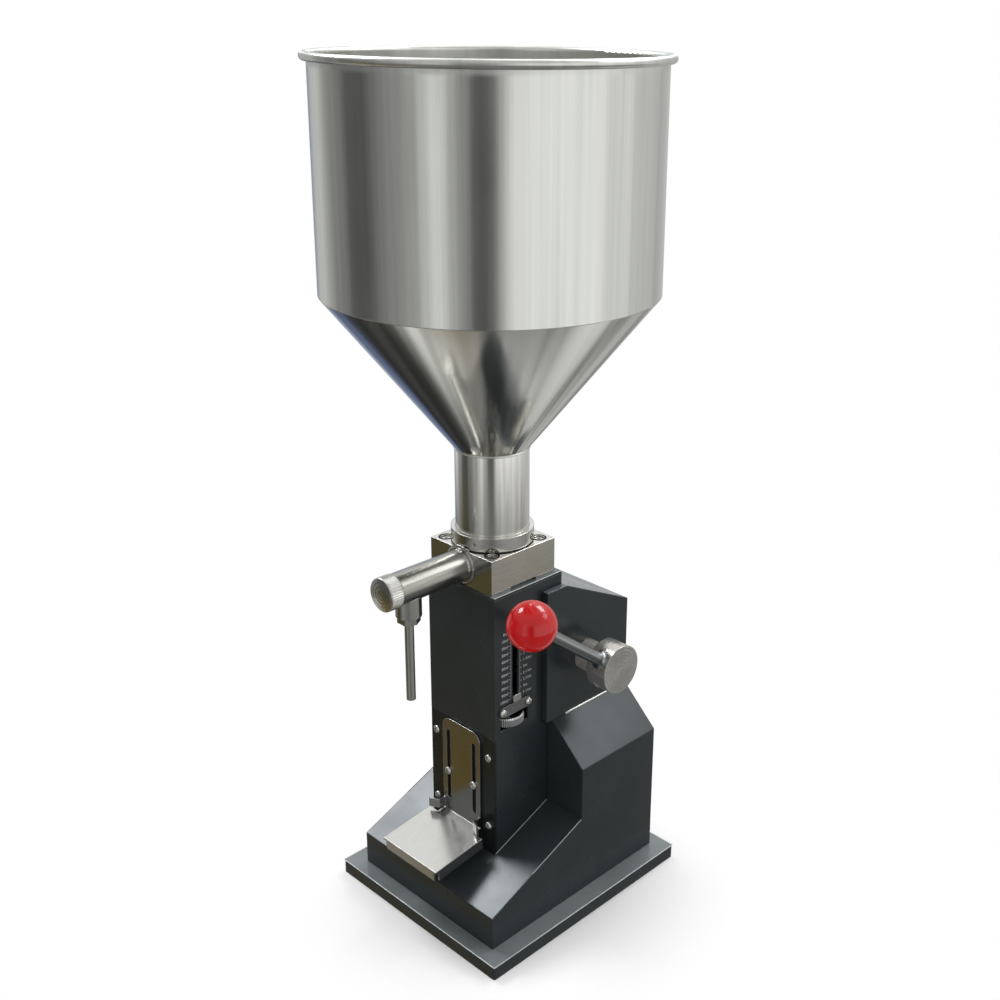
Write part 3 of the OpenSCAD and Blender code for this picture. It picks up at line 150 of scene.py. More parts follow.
class Material(Tree):
    """A new material, built from its object coordinates."""

    def __init__(self, name):
        self.mat = bpy.data.materials.new(name)
        self.mat.use_nodes = True
        super().__init__(self.mat.node_tree)
        self.bsdf = self.tree.nodes["Principled BSDF"]
        self.coord = self.add("ShaderNodeTexCoord").outputs["Object"]

    def set(self, **values):
        for key, value in values.items():
            self.put(self.bsdf, key.replace("_", " "), value)

    def stretched(self, scale):
        """Object coordinates, scaled apart along the three axes."""
        return self.add("ShaderNodeMapping", Vector=self.coord, Scale=scale).outputs["Vector"]

    def about_hopper(self):
        """Level distance vector from the hopper's axis, in metres."""
        start = (-HOPPER_AXIS.x * MM, -HOPPER_AXIS.y * MM, 0)
        return self.add("ShaderNodeMapping", Vector=self.coord, Scale=(1, 1, 0),
                        Location=start).outputs["Vector"]

    def height(self):
        return self.add("ShaderNodeSeparateXYZ", Vector=self.coord).outputs["Z"]

    def noise(self, scale, vector=None, detail=3.0, rough=0.55):
        return self.add("ShaderNodeTexNoise", Vector=vector or self.coord, Scale=scale,
                        Detail=detail, Roughness=rough).outputs["Fac"]

    def between(self, noise, low, high):
        return self.span(noise, NOISE_LOW, NOISE_HIGH, low, high)

    def shades(self, noise, col, dark, light):
        """One colour that gets darker and lighter along a noise."""
        return self.ramp(noise, [(NOISE_LOW, tint(col, dark)), (NOISE_HIGH, tint(col, light))])

    def bump(self, height, strength, distance, normal=None):
        """Bump of a distance in metres, on top of another normal."""
        node = self.add("ShaderNodeBump", Height=height, Strength=strength, Distance=distance)
        if normal is not None:
            self.put(node, "Normal", normal)
        return node.outputs["Normal"]

    def edges(self, radius):
        """Normals that round the sharp edges of the solids."""
        node = self.add("ShaderNodeBevel", Radius=radius * MM)
        node.samples = 4
        return node.outputs["Normal"]

    def radial(self):
        """Tangent round the upright axis."""
        node = self.add("ShaderNodeTangent")
        node.direction_type = "RADIAL"
        node.axis = "Z"
        return node.outputs["Tangent"]


# ---------------------------------------------------------------- materials

HOPPER_EDGE = 0.6
TURNED_EDGE = 1.0
# Heights between which the hopper's wall turns into its duller rim
RIM_FOOT, RIM_FULL = 688.5, 691.5
RIM_DULLER = 0.14
# Depths under the outer wall between which the hopper's lining begins
LINING_START, LINING_FULL = 0.4, 0.8


def painted(name, col, edge=1.3, sheen_colour=(0.105, 0.125, 0.132)):
    """Gloss paint, painted paler in patches where a face is level: a painted sheen on faces that point
    up.
    """
    m = Material(name)
    normal = m.add("ShaderNodeNewGeometry").outputs["Normal"]
    level = m.add("ShaderNodeSeparateXYZ", Vector=normal).outputs["Z"]
    # Painted sheen: faces that point up get a paler colour in patches, standing in for the light they
    # catch
    sheen_mask = m.math("MULTIPLY", m.span(level, 0.92, 1.0), m.between(m.noise(9.0), 0.75, 1.0))
    paint = m.shades(m.noise(14.0), col, 0.88, 1.14)
    sheen_tone = m.shades(m.noise(40.0), sheen_colour, 0.92, 1.08)
    m.set(Base_Color=m.mix(sheen_mask, paint, sheen_tone), Roughness=m.between(m.noise(22.0), 0.20, 0.30),
          Normal=m.edges(edge), Specular_Tint=(0.88, 0.96, 1.0, 1.0))
    return m.mat


def steel(name, col, low, high, stretch, scale, strength, edge, spread=0.08, lean=0.0):
    """Bare metal with fine lines along the axes that stretch makes long, leaning about X by an angle."""
    m = Material(name)
    flow = m.add("ShaderNodeMapping", Vector=m.coord, Rotation=(lean, 0, 0),
                 Scale=tuple(1 / v for v in stretch))
    flow.vector_type = "TEXTURE"
    lines = m.noise(scale, flow.outputs["Vector"], detail=4.0)
    m.set(Base_Color=m.shades(lines, col, 1 - spread, 1 + spread / 2),
          Roughness=m.between(m.noise(18.0), low, high),
          Normal=m.bump(lines, strength, 0.00012, m.edges(edge)), Metallic=1.0)
    return m.mat


def hopper_steel():
    """Rolled and polished sheet: streaks up the wall, fine lines round it and a few dull clouds."""
    m = Material("hopper_steel")
    fine = m.noise(60.0, m.stretched((1, 1, 22)), detail=5.0)
    broad = m.noise(16.0, m.stretched((1, 1, 0.04)))
    narrow = m.noise(75.0, m.stretched((1, 1, 0.012)), rough=0.65)
    cloud = m.noise(7.0, detail=4.0)
    streaks = m.math("MULTIPLY", m.math("ADD", broad, narrow), 0.5)
    outer = m.ramp(streaks, [(0.36, (0.46, 0.475, 0.45)), (0.5, (0.59, 0.60, 0.585)),
                             (0.64, (0.69, 0.69, 0.685))])
    inner = m.ramp(streaks, [(0.36, (0.60, 0.61, 0.58)), (0.64, (0.76, 0.76, 0.75))])
    far = m.vector("LENGTH", m.about_hopper()).outputs["Value"]
    inside = m.span(far, (HOPPER_R - LINING_START) * MM, (HOPPER_R - LINING_FULL) * MM)
    rim = m.span(m.height(), RIM_FOOT * MM, RIM_FULL * MM)
    duller = m.math("MULTIPLY", m.math("MAXIMUM", rim, inside), RIM_DULLER)
    wall = m.math("ADD", m.between(cloud, 0.12, 0.19), m.between(broad, -0.02, 0.04))
    lines = m.bump(fine, 0.05, 0.0001, m.edges(HOPPER_EDGE))
    m.set(Base_Color=m.mix(inside, outer, inner), Roughness=m.math("ADD", wall, duller),
          Normal=m.bump(narrow, 0.12, 0.0005, m.bump(broad, 0.10, 0.0016, lines)),
          Metallic=1.0, Anisotropic=0.55, Tangent=m.radial())
    return m.mat


def cone_steel():
    """Brushed cone: wedge shaped flats and streaks that run to the neck."""
    m = Material("cone_steel")
    around = m.vector("NORMALIZE", m.about_hopper()).outputs["Vector"]
    wedge = m.noise(3.1, around, detail=1.0, rough=0.5)
    thin = m.noise(16.0, around, detail=0.0)
    fine = m.noise(60.0, m.stretched((1, 1, 16)), detail=4.0)
    lines = m.bump(fine, 0.05, 0.0001, m.edges(HOPPER_EDGE))
    m.set(Base_Color=m.ramp(wedge, [(0.36, (0.32, 0.33, 0.30)), (0.46, (0.54, 0.54, 0.51)),
                                    (0.53, (0.43, 0.435, 0.405)), (0.62, (0.68, 0.68, 0.66))]),
          Roughness=m.between(thin, 0.11, 0.17), Normal=m.bump(wedge, 0.8, 0.0008, lines),
          Metallic=1.0, Anisotropic=0.3, Tangent=m.radial())
    return m.mat


def turned(name, col, low, high, centre, axis="X", metal=1.0):
    """Lathe finish: rings round an axis through centre."""
    m = Material(name)
    local = m.add("ShaderNodeMapping", Vector=m.coord,
                  Location=tuple(-c * MM for c in centre)).outputs["Vector"]
    wave = m.add("ShaderNodeTexWave", Vector=local, Scale=105.0, Distortion=1.2, Detail=3.0,
                 Detail_Scale=3.0)
    wave.wave_type = "RINGS"
    wave.rings_direction = axis
    rings = m.math("MULTIPLY", wave.outputs["Fac"], m.between(m.noise(110.0, detail=1.0), 0.0, 1.0))
    grain = m.bump(m.noise(260.0), 0.25, 0.0006, m.edges(TURNED_EDGE))
    along = (1, 0, 0) if axis == "X" else (0, 1, 0)
    m.set(Base_Color=m.ramp(rings, [(0.0, tint(col, 0.95)), (1.0, tint(col, 1.08))]),
          Roughness=m.between(m.noise(90.0), low, high), Normal=m.bump(rings, 0.3, 0.0003, grain),
          Metallic=metal, Anisotropic=0.6,
          Tangent=m.vector("CROSS_PRODUCT", local, along).outputs["Vector"])
    return m.mat


def plastic(name, col, rough, bump=0.03):
    m = Material(name)
    m.set(Base_Color=m.shades(m.noise(30.0), col, 0.95, 1.04),
          Roughness=m.between(m.noise(120.0), rough * 0.85, rough * 1.15),
          Normal=m.bump(m.noise(500.0), bump, 0.0001))
    return m.mat


# Colour, lowest and highest roughness, stretch, scale and depth of the lines, edge radius, and how
# far the colour spreads
STEELS = {
    "block_steel": ((0.64, 0.63, 0.60), 0.08, 0.14, (1, 1, 8), 90.0, 0.05, 0.6),
    "tube_steel": ((0.39, 0.385, 0.36), 0.24, 0.31, (8, 0.25, 8), 26.0, 0.55, 0.5, 0.50),
    "tray_steel": ((0.44, 0.44, 0.435), 0.17, 0.23, (14, 1, 1), 90.0, 0.025, 0.9, 0.05),
    "turned_steel": ((0.60, 0.61, 0.62), 0.15, 0.24, (14, 1, 1), 90.0, 0.06, 0.4),
    "arm_steel": ((0.42, 0.43, 0.45), 0.26, 0.38, (1, 1, 6), 120.0, 0.10, 0.4),
    "screw_steel": ((0.66, 0.66, 0.64), 0.18, 0.30, (1, 1, 1), 300.0, 0.08, 0.3),
    "plate_dark": ((0.21, 0.215, 0.22), 0.30, 0.40, (1, 6, 1), 120.0, 0.06, 0.4),
    "neck_steel": ((0.74, 0.735, 0.715), 0.11, 0.17, (8, 8, 0.3), 40.0, 0.16, 0.5, 0.16),
    "pipe_steel": ((0.58, 0.58, 0.55), 0.13, 0.20, (8, 8, 0.3), 40.0, 0.10, 0.4, 0.15),
    "bronze": ((0.58, 0.40, 0.18), 0.22, 0.34, (1, 1, 1), 200.0, 0.06, 0.3),
}
# Colour, roughness, and depth of the grain
PLASTICS = {
    "ball_red": ((0.60, 0.006, 0.009), 0.11, 0.0),
    "gasket_rubber": ((0.016, 0.016, 0.017), 0.55, 0.2),
    "piston_plastic": ((0.78, 0.77, 0.74), 0.42),
    "seal_plastic": ((0.80, 0.79, 0.75), 0.40),
    "print_white": ((0.62, 0.62, 0.61), 0.5),
    "print_grey": ((0.15, 0.155, 0.16), 0.5),
    # Pale colour of the painted edge highlights
    "painted_edge_highlight": ((0.52, 0.55, 0.57), 0.22),
    # Near-black, for the dark joint above the front panel and for the painted shade rings round the
    # block's screws
    "well_black": ((0.003, 0.003, 0.003), 0.9, 0.0),
}
BODY = (0.023, 0.028, 0.0305)
MATS = {
    "body_paint": painted("body_paint", BODY),
    # Painted shade: the front panel gets the body paint made darker
    "panel_paint": painted("panel_paint", tint(BODY, 0.35), 0.5),
    # The base plate's top gets a paler painted sheen than the rest of the paint
    "plate_paint": painted("plate_paint", BODY, sheen_colour=(0.21, 0.235, 0.24)),
    "cone_steel": cone_steel(),
    "hopper_steel": hopper_steel(),
    "hub_steel": turned("hub_steel", (0.50, 0.49, 0.465), 0.17, 0.26, SHAFT, metal=0.74),
    "bush_steel": turned("bush_steel", (0.56, 0.54, 0.49), 0.15, 0.22, SHAFT, metal=0.55),
}
MATS.update({name: steel(name, *row) for name, row in STEELS.items()})
MATS.update({name: plastic(name, *row) for name, row in PLASTICS.items()})

# CAD nodes with a finer material than their slot says
OWN = {
    "nozzle_tube": "pipe_steel", "nozzle_boss": "pipe_steel", "nozzle_nut": "pipe_steel",
    "lever_hub": "hub_steel", "bush_right": "bush_steel", "hopper_cone": "cone_steel",
    "hopper_neck": "neck_steel", "adjuster_plate": "plate_dark", "base_plate": "plate_paint",
}
slots = {s["node"]: s["material_slot"] for s in frame["record"]["subparts"]}
for node, obj in frame["nodes"].items():
    obj.data.materials.clear()
    obj.data.materials.append(MATS[OWN.get(node, slots[node])])

# ---------------------------------------------------------------- mesh tools

TUBE_SIDES = 10


def link(obj):
    bpy.context.scene.collection.objects.link(obj)
    return obj


def mesh_of(bm, name):
    """Mesh from a bmesh, which is used up."""
    mesh = bpy.data.meshes.new(name)
    bm.to_mesh(mesh)
    bm.free()
    return mesh


def take_in(bm, mesh):
    """Adds a mesh to a bmesh and deletes it."""
    bm.from_mesh(mesh)
    bpy.data.meshes.remove(mesh)


def lathe(profile, seg, ripple=None):
    """Surface of revolution about Z from (radius, height) pairs.

    ripple(row, angle) changes the radius.
    """
    bm = bmesh.new()
    rings = []
    for i, (r, h) in enumerate(profile):
        if r == 0:
            rings.append([bm.verts.new((0, 0, h * MM))])
            continue
        ring = []
        for k in range(seg):
            a = 2 * math.pi * k / seg
            d = r + (ripple(i, a) if ripple else 0)
            ring.append(bm.verts.new((d * math.cos(a) * MM, d * math.sin(a) * MM, h * MM)))
        rings.append(ring)
    for a, b in zip(rings, rings[1:]):
        for k in range(seg):
            j = (k + 1) % seg
            corners = [a[k % len(a)], a[j % len(a)], b[j % len(b)], b[k % len(b)]]
            corners = [v for n, v in enumerate(corners) if v not in corners[:n]]
            if len(corners) > 2:
                bm.faces.new(corners)
    bmesh.ops.recalc_face_normals(bm, faces=bm.faces)
    return bm


def waves(depth, first, last, wave):
    """Ripple that gives the rows first to last of a lathe profile a shallow wave(row, angle)."""
    return lambda i, a: depth * wave(i, a) if first <= i <= last else 0


def knurl(count, depth, rows):
    """Straight knurl on the given profile rows."""
    def change(i, a):
        if i not in rows:
            return 0
        t = (a * count / (2 * math.pi)) % 1
        return -depth * abs(2 * t - 1) ** 1.5
    return change


def tube_along(points, radius, closed=False):
    """Round bead through points."""
    bm = bmesh.new()
    pts = [Vector(p) for p in points]
    n = len(pts)
    turns = [2 * math.pi * k / TUBE_SIDES for k in range(TUBE_SIDES)]
    rings = []
    for i, p in enumerate(pts):
        a = pts[(i - 1) % n] if closed or i else p
        b = pts[(i + 1) % n] if closed or i < n - 1 else p
        t = (b - a).normalized()
        x = t.cross(Vector((0.3, 0.2, 1))).normalized()
        y = t.cross(x)
        rings.append([bm.verts.new((p + radius * (x * math.cos(turn) + y * math.sin(turn))) * MM)
                      for turn in turns])
    for a, b in list(zip(rings, rings[1:])) + ([(rings[-1], rings[0])] if closed else []):
        for k in range(TUBE_SIDES):
            j = (k + 1) % TUBE_SIDES
            bm.faces.new([a[k], a[j], b[j], b[k]])
    if not closed:
        bm.faces.new(rings[0])
        bm.faces.new(rings[-1])
    bmesh.ops.recalc_face_normals(bm, faces=bm.faces)
    return bm


def joined(lines, radius):
    """One bmesh with a bead along each line."""
    out = bmesh.new()
    for line in lines:
        take_in(out, mesh_of(tube_along(line, radius), "line"))
    return out


def frame_at(origin, out):
    """Matrix that stands local Z along out at origin."""
    z = Vector(out).normalized()
    x = Vector((0, 0, 1)).cross(z)
    if x.length < 1e-6:
        x = Vector((1, 0, 0))
    x.normalize()
    y = z.cross(x)
    m = Matrix((x, y, z)).transposed().to_4x4()
    m.translation = Vector(origin) * MM
    return m


def piece(name, bm, mat, body, place=None, swap=(), angle=35):
    """Turns a bmesh into a piece of the machine that rides on a body."""
    if place is not None:
        bm.transform(place)
    mesh = mesh_of(bm, name)
    mesh.shade_smooth()
    mesh.set_sharp_from_angle(angle=math.radians(angle))
    mesh.materials.append(MATS[mat])
    obj = link(bpy.data.objects.new(name, mesh))
    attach(obj, body)
    if swap:
        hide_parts(*swap)
    return obj


def spots_of(node, face, axis):
    """Centres of the separate solids of a CAD node, set onto a face."""
    bm = bmesh.new()
    bm.from_mesh(frame["nodes"][node].data)
    bmesh.ops.remove_doubles(bm, verts=bm.verts, dist=1e-6)
    seen, out = set(), []
    for v in bm.verts:
        if v in seen:
            continue
        todo, isle = [v], []
        seen.add(v)
        while todo:
            w = todo.pop()
            isle.append(w.co.copy())
            for e in w.link_edges:
                o = e.other_vert(w)
                if o not in seen:
                    seen.add(o)
                    todo.append(o)
        mid = [(min(p[i] for p in isle) + max(p[i] for p in isle)) / 2 / MM for i in range(3)]
        mid[axis] = face
        out.append(mid)
    bm.free()
    return sorted(out)


# ---------------------------------------------------------------- screws

HEAD_R, HEAD_H, SHANK_R, SHANK_END = 3.4, 2.4, 2.0, -3.3
RECESS = Vector((4.3, 1.15, 3.2))


def cross_head():
    """Pan head with a cross recess, head up along Z, shank below."""
    dome = [(HEAD_R * math.sin(a) ** 0.8, HEAD_H * (0.32 + 0.68 * math.cos(a)))
            for a in [math.radians(x) for x in (12, 26, 40, 54, 68, 80, 90)]]
    outline = [(0, HEAD_H)] + dome + [(HEAD_R, 0.3), (HEAD_R - 0.25, 0), (SHANK_R, 0),
                                      (SHANK_R, SHANK_END), (0, SHANK_END)]
    cut = bmesh.new()
    for turn in (0, 90):
        made = bmesh.ops.create_cube(cut, size=1.0)["verts"]
        bmesh.ops.scale(cut, vec=RECESS * MM, verts=made)
        bmesh.ops.translate(cut, vec=(0, 0, HEAD_H * MM), verts=made)
        bmesh.ops.rotate(cut, cent=(0, 0, 0), matrix=Matrix.Rotation(math.radians(turn), 3, "Z"),
                         verts=made)
    head = link(bpy.data.objects.new("head", mesh_of(lathe(outline, 40), "head")))
    recess = link(bpy.data.objects.new("recess", mesh_of(cut, "recess")))
    mod = head.modifiers.new("cut", "BOOLEAN")
    mod.object = recess
    mod.operation = "DIFFERENCE"
    mod.solver = "EXACT"
    mod.use_self = True
    done = bpy.data.meshes.new_from_object(head.evaluated_get(bpy.context.evaluated_depsgraph_get()))
    for obj in (head, recess):
        bpy.data.objects.remove(obj)
    return done


HEAD = cross_head()


def screws(name, spots, out, spin):
    """One piece with a cross head screw at every spot, heads along out, each turned further by spin."""
    parts = bmesh.new()
    for n, spot in enumerate(spots):
        turn = Matrix.Rotation(math.radians(spin * (n + 1) % 90), 4, "Z")
        screw = HEAD.copy()
        screw.transform(frame_at(spot, out) @ turn)
        take_in(parts, screw)
    piece(name + "_heads", parts, "screw_steel", "machine", swap=(name,))


for name, axis, face, out, spin in (
        ("front_panel_screws", Y, side("front_panel", Y, LOW), FRONT, 37),
        ("tray_screws", Y, side("tray_screws", Y, LOW) + HEAD_H, FRONT, 23),
        ("rear_cover_screws", Y, side("rear_cover", Y, HIGH), REAR, 31),
        ("adjuster_screws", X, side("adjuster_plate", X, HIGH), RIGHT, 53)):
    screws(name, spots_of(name, face, axis), out, spin)

# ---------------------------------------------------------------- lever

ball = middle("ball_knob")
arm = Vector((0, ball.y - SHAFT.y, ball.z - SHAFT.z)).normalized()
reach = math.hypot(ball.y - SHAFT.y, ball.z - SHAFT.z)

# The ball ends in a flat seat with a bore for the rod
BALL_R, SEAT, BORE_END = 20.0, 17.6, -8.0
ball_turns = [math.pi * k / 60 for k in range(1, 61)]
ball_profile = [(0, BALL_R)]
ball_profile += [(BALL_R * math.sin(a), BALL_R * math.cos(a)) for a in ball_turns
                 if BALL_R * math.cos(a) > -SEAT]
ball_profile += [(7.6, -18.5), (5.6, -18.7), (5.4, BORE_END), (0, BORE_END)]
grip = piece("ball_grip", lathe(ball_profile, 96), "ball_red", "lever", place=frame_at(ball, arm),
             swap=("ball_knob",))
# The photograph shows no red reflection of the ball in the steel round it
grip.visible_glossy = False

# The rod widens to a drawn foot on the hub
ROD_R, FOOT_WIDER, FOOT_H, FOOT_SUNK = 5.3, 2.6, 4.2, 1.2
hub_r = half("lever_hub", Z)
flare = [(ROD_R + FOOT_WIDER * (1 - t) ** 2.2, hub_r - FOOT_SUNK + FOOT_H * t)
         for t in (0, 0.12, 0.25, 0.4, 0.6, 0.8, 1.0)]
rod_start, rod_end = hub_r - 4.0, reach - 17.0
rod_profile = [(0, rod_start), (flare[0][0], rod_start)] + flare + [(ROD_R, rod_end), (0, rod_end)]
uneven = waves(0.22, 2, 5, lambda i, a: math.sin(9 * a) * math.sin(4 * a + 1))
MATS["rod_steel"] = steel("rod_steel", (0.29, 0.30, 0.31), 0.22, 0.30, (10, 10, 0.3), 30.0, 0.45, 0.4,
                          0.40, math.atan2(-arm.y, arm.z))
piece("lever_rod_drawn", lathe(rod_profile, 96, uneven), "rod_steel", "lever",
      place=frame_at((ball.x, SHAFT.y, SHAFT.z), arm), swap=("lever_rod",))

# ---------------------------------------------------------------- thumb wheel and outlet cap

TEETH_STEPS = 8
WHEEL_TEETH, CAP_TEETH = 54, 46
wheel = middle("thumb_wheel")
wheel_lo, wheel_hi = side("thumb_wheel", Z, LOW), side("thumb_wheel", Z, HIGH)
wheel_profile = [(4.2, wheel_hi - 1.2), (9.5, wheel_hi - 1.2), (10.3, wheel_hi), (13.6, wheel_hi),
                 (14.9, wheel_hi - 1.1), (14.9, wheel_lo + 1.1), (13.8, wheel_lo), (4.2, wheel_lo),
                 (4.2, wheel_hi - 1.2)]
piece("thumb_wheel_knurled",
      lathe(wheel_profile, WHEEL_TEETH * TEETH_STEPS, knurl(WHEEL_TEETH, 0.8, (4, 5))),
      "turned_steel", "adjuster", place=Matrix.Translation((wheel.x * MM, wheel.y * MM, 0)),
      swap=("thumb_wheel",), angle=25)

cap = middle("outlet_cap")
cap_r, cap_l = half("outlet_cap", X), 2 * half("outlet_cap", Y)
cap_face, cap_root = side("outlet_cap", Y, LOW), side("outlet_cap", Y, HIGH)
cap_profile = [(0, cap_l), (cap_r - 1.1, cap_l), (cap_r - 0.7, cap_l - 0.15),
               (cap_r - 0.1, cap_l - 0.9), (cap_r, cap_l - 1.0), (cap_r, 0.9), (cap_r - 0.1, 0.8),
               (cap_r - 0.6, 0), (12.95, 0), (12.95, 1.2)]
MATS["cap_steel"] = turned("cap_steel", (0.60, 0.60, 0.57), 0.14, 0.24, (cap.x, cap_face, cap.z), "Y")
piece("outlet_cap_knurled",
      lathe(cap_profile, CAP_TEETH * TEETH_STEPS, knurl(CAP_TEETH, 0.6, (4, 5))),
      "cap_steel", "machine", place=frame_at((cap.x, cap_root, cap.z), FRONT),
      swap=("outlet_cap",), angle=25)

# ---------------------------------------------------------------- weld beads


def hoop(r, z, n=160):
    """Points on a circle round the hopper's axis."""
    return [(HOPPER_AXIS.x + r * math.cos(2 * math.pi * k / n),
             HOPPER_AXIS.y + r * math.sin(2 * math.pi * k / n), z) for k in range(n)]


piece("neck_bead",
      tube_along(hoop(half("hopper_neck", X) + 0.15, side("hopper_cone", Z, LOW)), 0.75, closed=True),
      "hopper_steel", "machine")

# Hollow fillet where the outlet tube meets the block
TUBE_R, FILLET, FILLET_LIFT = 13.0, 3.6, 0.2
hollow = [(TUBE_R + FILLET * (1 - math.sin(t)), FILLET_LIFT + FILLET * (1 - math.cos(t)))
          for t in [math.radians(x) for x in (18, 36, 54, 72, 90)]]
weld_profile = [(TUBE_R - 0.5, FILLET_LIFT), (TUBE_R + FILLET, FILLET_LIFT)] + hollow
weld_profile += [(TUBE_R - 0.5, FILLET_LIFT + FILLET)]
scales = waves(0.16, 2, 5, lambda i, a: math.sin(24 * a + 0.6 * i))
piece("outlet_weld", lathe(weld_profile, 144, scales), "tube_steel", "machine",
      place=frame_at((cap.x, side("valve_block", Y, LOW), cap.z), FRONT))

# ---------------------------------------------------------------- seams, painted edge highlights and painted shade rings

# Bright joint under the upper housing, as shares of its length from the front
SEAM_START, SEAM_SHARE, SEAM_STEPS = 0.22, 0.77, 24
seam_front = side("upper_housing", Y, LOW)
seam_length = side("upper_housing", Y, HIGH) - seam_front
seam_z = side("upper_housing", Z, LOW) + 0.4
for hand, end, sign in (("right", HIGH, 1), ("left", LOW, -1)):
    edge_x = side("upper_housing", X, end) + 0.35 * sign
    line = [(edge_x, seam_front + seam_length * (SEAM_START + SEAM_SHARE * t / SEAM_STEPS), seam_z)
            for t in range(SEAM_STEPS + 1)]
    piece("housing_seam_" + hand, tube_along(line, 0.9), "screw_steel", "machine")

# Pale beads along the base plate's top edges: painted edge highlights
EDGE_INSET = 0.3
base_top = side("base_plate", Z, HIGH)
base_x = [side("base_plate", X, LOW) + EDGE_INSET, side("base_plate", X, HIGH) - EDGE_INSET]
base_y = [side("base_plate", Y, LOW) + EDGE_INSET, side("base_plate", Y, HIGH) - EDGE_INSET]
corners = [(base_x[i], base_y[j], base_top - EDGE_INSET) for i, j in ((0, 0), (1, 0), (1, 1), (0, 1))]
piece("base_edge_highlight", joined([[corners[k], corners[(k + 1) % 4]] for k in range(4)], 0.42),
      "painted_edge_highlight", "machine")

# Front and rear end of the housing's slope, as Y and Z
SLOPE = ((side("base_housing", Y, LOW), base_top + 29.5), (6.0, base_top + 71.0))
SLOPE_LINE_END = 5.6


def on_slope(x, y, lift=0.1):
    (y0, z0), (y1, z1) = SLOPE
    return x, y, z0 + (z1 - z0) * (y - y0) / (y1 - y0) + lift


# Painted highlights along the column's foot and along the slope's outer edge, on both sides
slope_lines = [[on_slope(sign * x, y) for y in (start, (start + SLOPE_LINE_END) / 2, SLOPE_LINE_END)]
               for sign in (1, -1)
               for x, start in ((side("column", X, HIGH) + 0.1, -54.4),
                                (side("base_housing", X, HIGH) - 0.35, -52.0))]
piece("slope_edge_highlights", joined(slope_lines, 0.3), "painted_edge_highlight", "machine")

# Painted highlights along the column top plate's two side edges
top_y = [side("column_top_plate", Y, LOW) + 0.4, side("column_top_plate", Y, HIGH) - 0.4]
top_x = [side("column", X, HIGH) - 0.1, side("column", X, LOW) + 0.1]
top_z = side("column_top_plate", Z, HIGH) - 0.2
piece("column_edge_highlight", joined([[(x, y, top_z) for y in top_y] for x in top_x], 0.4), "painted_edge_highlight",
      "machine")

# Black rings round the screws in the block's top: painted shade of the gap round each screw head
SHADE_RING = [(6.35, 0.0), (6.2, 0.12), (4.5, 0.12), (4.3, -0.3)]
shade_rings = bmesh.new()
for spot in spots_of("block_screws", side("valve_block", Z, HIGH), Z):
    ring = mesh_of(lathe(SHADE_RING, 48), "ring")
    ring.transform(Matrix.Translation(Vector(spot) * MM))
    take_in(shade_rings, ring)
piece("screw_shade_rings", shade_rings, "well_black", "machine")

# Dark joint above the front panel, sunk so that the tray passes it
seam_top, seam_y = side("front_panel", Z, HIGH) + 0.3, side("column", Y, LOW) + 1.15
seam_x = (side("column", X, LOW) + 1.0, 0.0, side("column", X, HIGH) - 1.0)
piece("panel_seam", tube_along([(x, seam_y, seam_top) for x in seam_x], 1.2), "well_black", "machine")

# ---------------------------------------------------------------- scale

FACE = side("column", X, HIGH) + 0.03
ZERO, FULL = 259.0, 198.6
OUNCE_ML = 29.57
OUNCE = (ZERO - FULL) / 100 * OUNCE_ML
MARK = 0.16


def flat_rect(bm, y0, y1, z0, z1):
    v = [bm.verts.new((FACE * MM, y * MM, z * MM)) for y, z in ((y0, z0), (y1, z0), (y1, z1), (y0, z1))]
    bm.faces.new(v)


def word(text, y, z, size, align):
    """Printed word on the right side of the column, as a flat mesh."""
    curve = bpy.data.curves.new("word", "FONT")
    curve.body = text
    curve.size = size * MM
    curve.align_x = align
    curve.align_y = "CENTER"
    curve.resolution_u = 3
    obj = link(bpy.data.objects.new("word", curve))
    mesh = bpy.data.meshes.new_from_object(obj.evaluated_get(bpy.context.evaluated_depsgraph_get()))
    bpy.data.objects.remove(obj)
    mesh.transform(Matrix(((0, 0, 1, FACE * MM), (1, 0, 0, y * MM), (0, 1, 0, z * MM), (0, 0, 0, 1))))
    return mesh


lines = bmesh.new()
for y0, y1 in ((-36.95, -36.1), (-27.0, -26.2)):
    flat_rect(lines, y0, y1, FULL - 1.0, ZERO + 4.0)
marks = bmesh.new()
for ml in range(0, 101, 5):
    z = ZERO + (FULL - ZERO) * ml / 100
    flat_rect(marks, -38.9 if ml % 10 == 0 else -38.0, -37.2, z - MARK, z + MARK)
for ml in range(0, 101, 10):
    take_in(marks, word(f"{ml}ml", -39.6, ZERO + (FULL - ZERO) * ml / 100, 3.7, "RIGHT"))
for third in range(11):
    z = ZERO - OUNCE * third / 3
    flat_rect(marks, -25.9, -24.6, z - MARK, z + MARK)
    whole, rest = divmod(third, 3)
    take_in(marks, word(f"{whole}" if rest else f"{whole}oz", -22.9, z, 3.3, "LEFT"))
    if rest:
        take_in(marks, word(f"{rest}/3oz", -20.2, z, 3.0, "LEFT"))
piece("scale_lines", lines, "print_grey", "machine")
piece("scale_print", marks, "print_white", "machine")

# ---------------------------------------------------------------- camera

YAW, PITCH, ROLL = math.radians(43.67), math.radians(18.80), math.radians(0.70)
CAMERA_AT = Vector((698.28, -673.27, 732.64))
SENSOR = 36.0
FOCAL_WIDTHS = 1.28172
SHIFT = -0.060

